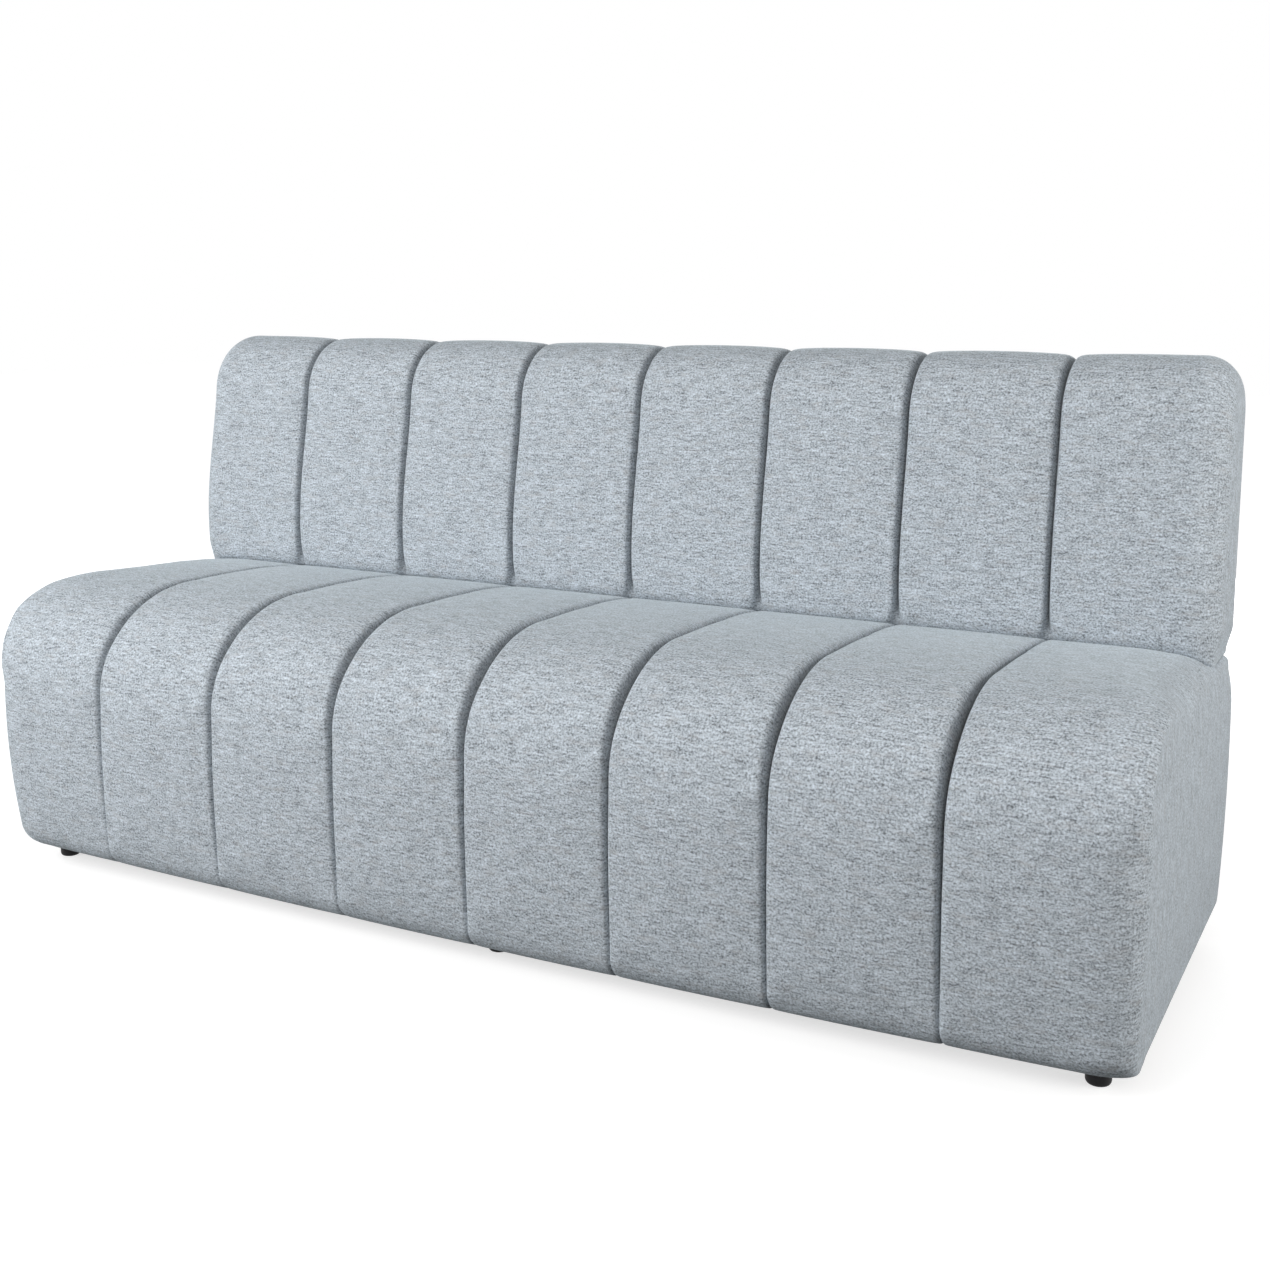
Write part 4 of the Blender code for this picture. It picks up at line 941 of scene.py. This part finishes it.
def make_cover_cloth():
    """The cover's cloth on its own flat map, with painted shade: darker and browner the deeper it lies in a
    groove.
    """
    material, tree, shader = new_material(
        "heather_cover", Roughness=0.92, Sheen_Weight=0.27, Sheen_Roughness=0.45, Sheen_Tint=SHEEN_BLUE,
        Specular_IOR_Level=0.25)
    flat = add_node(tree, "ShaderNodeUVMap", uv_map="cloth").outputs["UV"]
    cloth = add_node(tree, "ShaderNodeGroup", {"Vector": flat}, node_tree=make_heather())
    # Painted shade: the deeper the cloth lies in a groove, the more it goes towards the dark brown.
    painted_shade_depth = add_node(tree, "ShaderNodeAttribute", attribute_name="painted_shade_depth").outputs["Fac"]
    share = add_range(tree, painted_shade_depth, SHADE_DEPTH_START, SHADE_DEPTH_END, high=SHADE_MOST_SHARE)
    colour = add_mix(tree, share, cloth.outputs["Color"], GROOVE_PAINTED_SHADE)
    tree.links.new(colour, shader.inputs["Base Color"])
    add_bump(tree, shader, cloth.outputs["Height"], 0.35, 0.0008)
    return material


heather = make_cover_cloth()
slot_rows = (row_of(seat_keys, 6), row_of(seat_keys, 7))
seat_openings = [(column_span(seat_columns, place - POST_HALF, place + POST_HALF), slot_rows)
                 for place in POST_PLACES]
seat_openings.append((column_span(seat_columns, -HEM_END - LEFT_PULL, HEM_END + RIGHT_PULL),
                      (row_of(seat_keys, 12), len(seat_keys))))
seat_flat, seat_fans = flat_cloth(seat_outer, seat_columns, seat_ring, row_of(seat_keys, 2))
to_front = np.array([0.0, seat_front, 0.0])
seat_cover = cover_mesh("seat_cover_cloth", seat_outer + to_front, seat_lining + to_front, seat_openings,
                        seat_flat, seat_fans, seat_depth, heather)
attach(seat_cover, "root")
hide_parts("seat_cover")


# Back frame
# Four plywood posts drop into the base and are bolted to its rear board. Two pine rails are let into
# them, and hardboard is stapled over their front and rear.
HARDBOARD_PALE = (0.34, 0.22, 0.13, 1.0)
HARDBOARD_DARK = (0.22, 0.135, 0.075, 1.0)
ZINC = (0.62, 0.63, 0.62, 1.0)
ZINC_DULL = (0.46, 0.47, 0.46, 1.0)


def make_hardboard():
    """Pressed wood fibre: short pale fibres on brown, smooth and slightly polished."""
    material, tree, shader, _, fibres = mottled_material(
        "hardboard_brown", [(0.35, HARDBOARD_DARK), (0.7, HARDBOARD_PALE)], (220.0, 400.0, 420.0), 4.0, 0.7,
        Roughness=0.5)
    add_bump(tree, shader, fibres, 0.2, 0.0003)
    return material


def make_zinc():
    """Bright zinc plate: small dull patches that change the colour and the gloss."""
    material, tree, shader, _, patches = mottled_material(
        "zinc_plate", [(0.35, ZINC_DULL), (0.65, ZINC)], (260.0, 260.0, 260.0), Metallic=1.0)
    tree.links.new(add_range(tree, patches, 0.0, 1.0, 0.48, 0.26), shader.inputs["Roughness"])
    return material


zinc = make_zinc()
POSTS = range(1, len(POST_PLACES) + 1)
finish_nodes(make_plywood("plywood_upright", (1.0, 0.0, 0.0), (0.0, QUARTER, 0.0)),
             *(f"back_post_{number}" for number in POSTS))
finish_nodes(pine, "back_bottom_rail", "back_top_rail")
finish_nodes(make_hardboard(), "back_face_panel", "back_rear_panel")
finish_nodes(zinc, *(f"back_bolt_{number}_{place}" for number in POSTS for place in ("lower", "upper")))


# Back foam
# One cap of the same cut foam, glued over the front, top and ends of the back frame. Its edges are
# rounded over a little, like the seat's.
make_foam("back_core_foam")


# Back cover
# The same quilted cloth, in the same eight channels, pulled down over the back frame like a sleeve and
# stapled under it. The channels run from the foot over the top and end in the plain rear.
BACK_HALF = 0.908
BACK_HEIGHT = 0.415
BACK_THICKNESS = 0.150
BACK_END_ROLL = 0.050
TOP_ROLL = 0.100
TOP_REAR_ROLL = 0.050
REAR_CORNER = 0.030
FOOT_DEPTH = 0.016
FOOT_HEIGHT = 0.045
LUMBAR = 0.008
BACK_FOOT = SEAT_HEIGHT - SEAT_FALL
BACK_HEM_FRONT = 0.0626
BACK_HEM_HALF = 0.8591
BACK_LINING_HALF = 0.888
BACK_LINING_STRAIGHT = 0.8595
BACK_RECESS = 0.0003
LEAST_FOOT = 0.001
FOOT_DRAW = 0.034


def back_section(pad, hem, rear_pad):
    """The back's section, across its thickness and up its lean, a pad's depth under its sewn lines.

    Parts: 0 hem, 1 foot, 2 front with a lumbar swell, 3 rolled top, 4 rear top roll, 5 rear, 6 rear hem
    edge, 7 hem opening. The swell is the share up times the square of what is left, over its peak.
    """
    rear = BACK_THICKNESS - rear_pad
    shoulder = BACK_HEIGHT - TOP_ROLL
    foot = max(FOOT_DEPTH - 2 * pad, LEAST_FOOT)
    foot_height = max(FOOT_HEIGHT - 3 * pad, LEAST_FOOT)
    hem_roll = max(REAR_HEM_EDGE - 3 * pad, LEAST_ROLL)
    up = line(0.0, 1.0, 36)
    swell = LUMBAR * up * (1 - up) ** 2 * 27 / 4 * (pad == 0)
    front = hem + foot_height + up * (shoulder - hem - foot_height)
    parts = [
        line((BACK_HEM_FRONT, hem), (pad + foot, hem), 6),
        arc((pad + foot, hem + foot_height), (foot, foot_height), 270, 180, 9),
        np.column_stack((pad - swell, front)),
        arc((TOP_ROLL, shoulder), (TOP_ROLL - pad, TOP_ROLL - pad), 180, 90, 26),
        arc((TOP_ROLL, BACK_HEIGHT - TOP_REAR_ROLL), (rear - TOP_ROLL, TOP_REAR_ROLL - pad), 90, 0, 14),
        line((rear, BACK_HEIGHT - TOP_REAR_ROLL), (rear, hem + hem_roll), 30),
        arc((rear - hem_roll, hem + hem_roll), (hem_roll, hem_roll), 0, -90, 4),
        line((rear - hem_roll, hem), (BACK_HEM_FRONT, hem), 8),
    ]
    return along_rows(parts)


BACK_CROWN = ([0, 1, 1.25, 1.5, 2, 3, 3.25, 3.5, 3.75, 4, 5, 8],
              [0, 0, 0.004, 0.0095, 0.014, 0.014, 0.0155, 0.015, 0.0115, 0.006, 0, 0])
BACK_GROOVE = ([0, 1, 1.25, 1.5, 1.7, 2, 2.5, 3, 3.5, 3.8, 4, 4.4, 4.8, 8],
               [0, 0, 0.004, 0.0110, 0.0160, 0.0190, 0.0185, 0.0195, 0.0205, 0.016, 0.012, 0.006, 0, 0])
BACK_WALL = ([0, 1, 1.25, 1.5, 1.75, 2, 3, 3.5, 4, 5, 8],
             [0.009, 0.009, 0.008, 0.0068, 0.0054, 0.0045, 0.0042, 0.0055, 0.006, 0.005, 0.005])
BACK_FLARE = ([0, 1, 1.25, 1.5, 1.75, 2, 8], [0.009, 0.009, 0.0075, 0.0045, 0.0015, 0, 0])
BACK_DOME = ([0, 1, 2, 3, 3.5, 4, 4.5, 5, 8], [0, 0.002, 0.003, 0.003, 0.0045, 0.0055, 0.005, 0.001, 0])


def back_draw(ring, keys):
    """How far the ends draw each row of the back in: square to the front, and towards the rolls' centres.

    At the rear top the draw goes over from the top's to the rear's, and fades out down the rear.
    """
    rear_inset = INSET_SHARE * REAR_EDGE
    hem_inset = INSET_SHARE * REAR_HEM_EDGE
    depth = np.interp(keys, [0, 1, 2, 3], [0, FOOT_DRAW, BACK_END_ROLL, BACK_END_ROLL])
    height = np.zeros(len(keys))
    top = (keys >= 3) & (keys < 4)
    shoulder = BACK_HEIGHT - TOP_ROLL
    depth = np.where(top, -BACK_END_ROLL * (ring[:, 0] - TOP_ROLL) / TOP_ROLL, depth)
    height = np.where(top, -BACK_END_ROLL * (ring[:, 1] - shoulder) / TOP_ROLL, height)
    rear = (keys >= 4) & (keys < 5)
    corner = TOP_REAR_ROLL - REAR_CORNER
    rearward = (ring[:, 0] - TOP_ROLL) / TOP_REAR_ROLL
    upward = (ring[:, 1] - BACK_HEIGHT + TOP_REAR_ROLL) / TOP_REAR_ROLL
    depth = np.where(rear, corner - rear_inset - corner * rearward, depth)
    height = np.where(rear, -REAR_CORNER - (BACK_END_ROLL - REAR_CORNER) * upward, height)
    depth = np.where(keys >= 5, np.interp(keys, [5, 6, 7, 8], [-rear_inset, -hem_inset, 0, 0]), depth)
    height = np.where(keys >= 5, np.interp(keys, [5, 5.35], [-REAR_CORNER, 0]), height)
    return np.column_stack((depth, height))


back_columns = channel_columns(BACK_HALF, BACK_END_ROLL, [-BACK_HEM_HALF, BACK_HEM_HALF])
back_ring, back_keys = back_section(0.0, 0.0, 0.0)
back_groove = np.interp(back_keys, *BACK_GROOVE)
back_depth = channel_depth(back_columns, back_keys, back_groove, BACK_WALL, BACK_FLARE, BACK_DOME)
back_skin = drawn_skin(back_columns, back_ring, back_keys, BACK_HALF, BACK_END_ROLL,
                       back_draw(back_ring, back_keys), BACK_CROWN, back_depth)

BACK_LOW = ([1.2, 2, 2.9, 3.2, 4, 4.9], [0.001, 0.003, 0.002, 0, 0, 0])
BACK_SPAN = (1.2, 4.9)
FOOT_PULL = 0.008
FOOT_PULL_END = 0.905
FOOT_PULL_HEIGHT = 0.040
FOOT_FOLLOW = 0.010
SINK_SHARE = ([0, 1, 1.4, 1.62, 2, 2.12, 5.9, 5.97, 7, 8],
              [0.5, 0.7, 0.65, 0.5, 0.2, 0, 0, 0.1, 0.1, 0.5])


def sink_back_ends(skin, columns, keys):
    """Lets the foot's ends sink with the seat's top under them: by its droop and a share of its roll."""
    sink = end_droop(columns) + FOOT_FOLLOW * roll_share(columns, SEAT_HALF, SEAT_END_ROLL)
    skin[:, :, 2] -= sink[:, None] * np.interp(keys, *SINK_SHARE)
    return skin


def pull_foot_ends(outer, foot):
    """Pulls the ends in over the foot's height: by one less a cubic ease of the height above its edge."""
    share = 1 - smooth_step(outer[..., 2], foot, foot + FOOT_PULL_HEIGHT)
    eased = smooth_step(np.abs(outer[..., 0]), BACK_HEM_HALF, FOOT_PULL_END)
    outer[..., 0] -= np.sign(outer[..., 0]) * FOOT_PULL * eased * share
    return outer


back_skin = sink_back_ends(back_skin, back_columns, back_keys)
back_skin = swollen(back_skin, back_columns, back_ring, back_keys, BACK_HALF - BACK_END_ROLL,
                    BACK_SPAN, BACK_LOW)
back_outer = pull_foot_ends(capped(back_skin), back_ring[:, 1].min())
back_lining_ring, _ = back_section(WADDING, HEM_THICKNESS, REAR_WADDING)
back_lining = make_lining(back_columns, back_lining_ring, BACK_HALF, BACK_LINING_HALF, BACK_LINING_STRAIGHT,
                          BACK_RECESS, BACK_LINING_HALF + BACK_RECESS)
back_flat, back_fans = flat_cloth(back_outer, back_columns, back_ring, row_of(back_keys, 2))


def leaning(points):
    """Carries points from the back's own leaning frame to the sofa's: turned about X by the lean."""
    across, up = points[..., 1], points[..., 2]
    y = seat_front + SITTING_DEPTH + across * np.cos(LEAN) + up * np.sin(LEAN)
    z = BACK_FOOT + CLEARANCE - across * np.sin(LEAN) + up * np.cos(LEAN)
    return np.stack((points[..., 0], y, z), axis=-1)


back_hem = (column_span(back_columns, -BACK_HEM_HALF, BACK_HEM_HALF), (row_of(back_keys, 7), len(back_keys)))
back_cover = cover_mesh("back_cover_cloth", leaning(back_outer), leaning(back_lining), [back_hem], back_flat,
                        back_fans, back_depth, heather)
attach(back_cover, "root")
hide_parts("back_cover")


# Feet and their screws
# Small moulded feet of black plastic, each held by one zinc-plated screw through its middle into a block.
# The sole is rounded over so that it doesn't mark the floor.
PLASTIC_BLACK = (0.007, 0.007, 0.008, 1.0)
PLASTIC_WORN = (0.020, 0.020, 0.021, 1.0)
TURN_STEPS = 48
FOOT_TOP = 0.0447
FLANGE_RADIUS = 0.0190
FLANGE_EDGE = 0.0006
FLANGE_LOW = 0.0387
FLANGE_ROUND = 0.0015
NECK_RADIUS = 0.0160
WAIST_HEIGHT = 0.0200
SOLE_RADIUS = 0.0115
SOLE_ROUND = (0.0040, 0.0060)
POCKET_RADIUS = 0.0070
POCKET_DEPTH = 0.0140
POCKET_EDGE = 0.0004
BORE_RADIUS = 0.0028


def make_black_plastic():
    """Moulded plastic: a fine spark-eroded grain, with paler and duller scuffs round it."""
    material, tree, shader, place, scuffs = mottled_material(
        "moulded_black", [(0.5, PLASTIC_BLACK), (0.8, PLASTIC_WORN)], (180.0, 180.0, 900.0), 3.0, 0.7,
        Specular_IOR_Level=0.2)
    grain = add_node(tree, "ShaderNodeTexNoise", {"Vector": place, "Scale": 1800.0, "Detail": 2.0})
    tree.links.new(add_range(tree, scuffs, 0.0, 1.0, 0.38, 0.62), shader.inputs["Roughness"])
    add_bump(tree, shader, grain.outputs["Fac"], 0.15, 0.0002)
    return material


def foot_profile():
    """The foot's half section: from the bore's top over flange, neck and rounded sole, and up its pocket."""
    rim = [(BORE_RADIUS, FOOT_TOP), (FLANGE_RADIUS - FLANGE_EDGE, FOOT_TOP),
           (FLANGE_RADIUS, FOOT_TOP - FLANGE_EDGE)]
    rounds = (FLANGE_ROUND, FLANGE_ROUND)
    flange = arc((FLANGE_RADIUS - FLANGE_ROUND, FLANGE_LOW + FLANGE_ROUND), rounds, 0, -90, 4)
    neck = arc((NECK_RADIUS + FLANGE_ROUND, FLANGE_LOW - FLANGE_ROUND), rounds, 90, 180, 4)
    waist = [(NECK_RADIUS, WAIST_HEIGHT)]
    sole = arc((NECK_RADIUS - SOLE_ROUND[0], SOLE_ROUND[1]), SOLE_ROUND, 0, -90, 7)
    pocket = [(SOLE_RADIUS, 0.0), (POCKET_RADIUS + POCKET_EDGE, 0.0), (POCKET_RADIUS, POCKET_EDGE),
              (POCKET_RADIUS, POCKET_DEPTH), (BORE_RADIUS, POCKET_DEPTH)]
    return np.concatenate((rim, flange, neck, waist, sole, pocket))


def make_foot(name, material):
    """The profile turned about the foot's own axis; both ends meet, so the rings close on themselves."""
    low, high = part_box(name)
    profile = foot_profile()
    angle = np.linspace(0, 2 * np.pi, TURN_STEPS, endpoint=False)[:, None]
    x = (low.x + high.x) / 2 + profile[:, 0] * np.cos(angle)
    y = (low.y + high.y) / 2 + profile[:, 0] * np.sin(angle)
    points = np.stack((x, y, np.broadcast_to(profile[:, 1], x.shape)), axis=-1)
    cells = ring_cells(TURN_STEPS + 1, len(profile)) % (TURN_STEPS * len(profile))
    foot = new_piece(f"moulded_{name}", points, cells.reshape(-1, 4)[:, ::-1].tolist(), material)
    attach(foot, "root")
    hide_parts(name)


plastic = make_black_plastic()
for place in FOOT_PLACES:
    make_foot(f"foot_{place}", plastic)
finish_nodes(zinc, *(f"foot_screw_{place}" for place in FOOT_PLACES))


# Dust cover
# Thin black spunbond cloth stretched over the open underside and stapled to the frame, with a round hole
# for each foot.
DUST_THICKNESS = 0.0009
DUST_BLACK = (0.012, 0.012, 0.013, 1.0)
DUST_GREY = (0.050, 0.050, 0.052, 1.0)
HOLE_RADIUS = 0.0198
HOLE_SQUARE = 0.0240
HOLE_LINES = 8
HOLE_SHARE = 0.5
HOLE_CLEAR = 0.004
HOLE_LOOSE = 0.0001
SHEET_STEP = 0.030


def make_dust_cloth():
    """Spunbond: fine crossing fibres with a grid of small pressed dots."""
    material, tree, shader, place, _ = mottled_material(
        "dust_spunbond", [(0.35, DUST_BLACK), (0.75, DUST_GREY)], (900.0, 500.0, 500.0), 4.0, 0.7,
        Roughness=0.95)
    dots = add_node(tree, "ShaderNodeTexVoronoi", {"Vector": place, "Scale": 420.0, "Randomness": 0.15})
    add_bump(tree, shader, dots.outputs["Distance"], 0.4, 0.0004)
    return material


dust_low, dust_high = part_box("dust_cover")
foot_boxes = [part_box(f"foot_{place}") for place in FOOT_PLACES]
foot_centres = np.array([((low.x + high.x) / 2, (low.y + high.y) / 2) for low, high in foot_boxes])


def sheet_lines(low, high, centres):
    """Grid lines across the sheet: close together round each hole and about 30 mm apart elsewhere."""
    round_holes = np.add.outer(centres, np.linspace(-HOLE_SQUARE, HOLE_SQUARE, HOLE_LINES + 1)).ravel()
    plain = np.linspace(low, high, int((high - low) / SHEET_STEP) + 1)
    clear = np.abs(plain[:, None] - centres).min(axis=1) > HOLE_SQUARE + HOLE_CLEAR
    return np.unique(np.round(np.r_[plain[clear], round_holes, low, high], 6))


def make_dust_cover():
    """A flat grid. Inside a square round each foot its squares turn into circles, down to the hole's edge:
    each point slides from its place on the square towards the circle, in its own direction."""
    x_lines = sheet_lines(dust_low.x, dust_high.x, np.unique(foot_centres[:, 0].round(6)))
    y_lines = sheet_lines(dust_low.y, dust_high.y, np.unique(foot_centres[:, 1].round(6)))
    x, y = np.meshgrid(x_lines, y_lines, indexing="ij")
    place = np.stack((x, y), axis=-1)
    away = place[:, :, None] - foot_centres
    nearest = np.abs(away).max(axis=-1).argmin(axis=-1)
    away = np.take_along_axis(away, nearest[:, :, None, None], axis=2)[:, :, 0]
    size = np.abs(away).max(axis=-1) / HOLE_SQUARE
    radius = np.linalg.norm(away, axis=-1)
    circle = away * (HOLE_RADIUS / np.maximum(radius, 1e-9))[:, :, None]
    share = np.clip((size - HOLE_SHARE) / (1 - HOLE_SHARE), 0, 1)[:, :, None]
    inside = (size <= 1 + HOLE_LOOSE)[:, :, None]
    place = np.where(inside, foot_centres[nearest] + circle + (away - circle) * share, place)
    columns, rows = x.shape
    column, row = np.meshgrid(np.arange(columns - 1), np.arange(rows - 1), indexing="ij")
    first = column * rows + row
    cells = np.stack((first, first + 1, first + rows + 1, first + rows), axis=-1)
    biggest = np.maximum.reduce((size[:-1, :-1], size[1:, :-1], size[1:, 1:], size[:-1, 1:]))
    cells = cells[biggest > HOLE_SHARE + HOLE_LOOSE]
    used, cells = np.unique(cells, return_inverse=True)
    flat = place.reshape(-1, 2)[used]
    points = np.column_stack((flat, np.full(len(flat), dust_low.z)))
    sheet = new_piece("dust_cover_cloth", points, cells.reshape(-1, 4).tolist(), make_dust_cloth())
    wall = sheet.modifiers.new("cloth_thickness", "SOLIDIFY")
    wall.thickness = DUST_THICKNESS
    wall.offset = -1.0
    return sheet


dust_cover = make_dust_cover()
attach(dust_cover, "root")
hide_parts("dust_cover")


# Studio
# A plain pale floor that keeps a soft shadow, a white surround, and large soft lamps at the front left and
# right, at both ends, far in front and behind. The camera stands in front of the right-hand end.
WHITE = (1.0, 1.0, 1.0, 1.0)
FLOOR_BOUNCE = (0.06, 0.06, 0.06, 1.0)
FLOOR_SEEN = (0.50, 0.50, 0.50, 1.0)
FLOOR_HALF = 12.0
GLOW_NEAR = 0.66
GLOW_START = 1.0
GLOW_END = 3.0
CAMERA_PLACE = (1.2260, -2.1613, 0.95887)
CAMERA_YAW = 0.48370
CAMERA_PITCH = 0.12240
CAMERA_LENS = 46.55
CAMERA_SENSOR = 36.0
CAMERA_SHIFT = -0.122
WORLD_LIGHT = 0.04
WARM = (1.0, 0.985, 0.965)


def seen_share(tree):
    """1 for what the camera sees, straight, mirrored or through something clear, and 0 for other light."""
    path = add_node(tree, "ShaderNodeLightPath")
    seen = add_math(tree, "MAXIMUM", path.outputs["Is Camera Ray"], path.outputs["Is Glossy Ray"])
    return add_math(tree, "MAXIMUM", seen, path.outputs["Is Transmission Ray"])


def make_floor():
    """A pale floor. The camera sees grey plus a glow that rises with the distance from the sofa, so that its
    lit part is as white as the surround. To other light it is dark, so that little bounces up."""
    material = bpy.data.materials.new("floor_white")
    material.use_nodes = True
    tree = material.node_tree
    tree.nodes.clear()
    dark = add_node(tree, "ShaderNodeBsdfDiffuse", {"Color": FLOOR_BOUNCE})
    grey = add_node(tree, "ShaderNodeBsdfDiffuse", {"Color": FLOOR_SEEN})
    place = add_node(tree, "ShaderNodeTexCoord").outputs["Object"]
    away = add_node(tree, "ShaderNodeVectorMath", {0: place}, operation="LENGTH").outputs["Value"]
    rise = add_range(tree, away, GLOW_START, GLOW_END, GLOW_NEAR, 1.0)
    glow = add_node(tree, "ShaderNodeEmission", {"Color": WHITE, "Strength": rise})
    bright = add_node(tree, "ShaderNodeAddShader", {0: grey.outputs[0], 1: glow.outputs[0]})
    choice = add_node(tree, "ShaderNodeMixShader", {
        0: seen_share(tree), 1: dark.outputs[0], 2: bright.outputs[0]})
    add_node(tree, "ShaderNodeOutputMaterial", {"Surface": choice.outputs[0]})
    corners = FLOOR_HALF * np.array([(-1, -1, 0), (1, -1, 0), (1, 1, 0), (-1, 1, 0)])
    floor = new_piece("floor", corners, [[0, 1, 2, 3]], material)


def make_surround():
    """White to the camera and in reflections, a dim even light to everything else."""
    world = bpy.data.worlds.new("surround")
    bpy.context.scene.world = world
    world.use_nodes = True
    tree = world.node_tree
    tree.nodes.clear()
    strength = add_range(tree, seen_share(tree), 0.0, 1.0, WORLD_LIGHT, 1.0)
    light = add_node(tree, "ShaderNodeBackground", {"Color": WHITE, "Strength": strength})
    add_node(tree, "ShaderNodeOutputWorld", {"Surface": light.outputs[0]})


def add_lamp(name, place, target, size, power, colour=WHITE[:3]):
    """A square soft lamp at a place, turned to a target."""
    lamp = bpy.data.lights.new(name, "AREA")
    lamp.size = size
    lamp.energy = power
    lamp.color = colour
    held = add_object(name, lamp)
    x, y, z = np.subtract(target, place)
    held.location = place
    held.rotation_euler = (QUARTER + np.arctan2(z, np.hypot(x, y)), 0.0, np.arctan2(-x, y))


make_floor()
make_surround()
add_lamp("key_front_left", (-2.4, -2.6, 2.2), (0.0, 0.0, 0.4), 1.8, 78.0)
add_lamp("fill_front_left", (-1.6, -3.4, 1.3), (0.0, 0.0, 0.5), 1.8, 57.0)
add_lamp("fill_front_right", (1.9, -2.4, 2.4), (0.4, 0.0, 0.6), 1.8, 31.0, WARM)
add_lamp("end_right", (3.1, 0.1, 1.05), (0.9, 0.15, 0.4), 1.6, 52.0, WARM)
add_lamp("fill_far", (-0.6, -4.4, 3.2), (0.1, 0.1, 0.6), 1.6, 46.0)
add_lamp("fill_rear", (0.0, 3.2, 0.9), (0.0, 0.3, 0.4), 2.0, 70.0)
add_lamp("end_left", (-3.1, 0.7, 0.9), (-0.9, 0.15, 0.4), 1.6, 18.0)

camera_data = bpy.data.cameras.new("photo_camera")
camera_data.lens = CAMERA_LENS
camera_data.sensor_width = CAMERA_SENSOR
camera_data.shift_y = CAMERA_SHIFT
camera = add_object("photo_camera", camera_data)
camera.location = CAMERA_PLACE
camera.rotation_euler = (QUARTER - CAMERA_PITCH, 0.0, CAMERA_YAW)
bpy.context.scene.camera = camera
bpy.context.scene.view_settings.view_transform = "Standard"
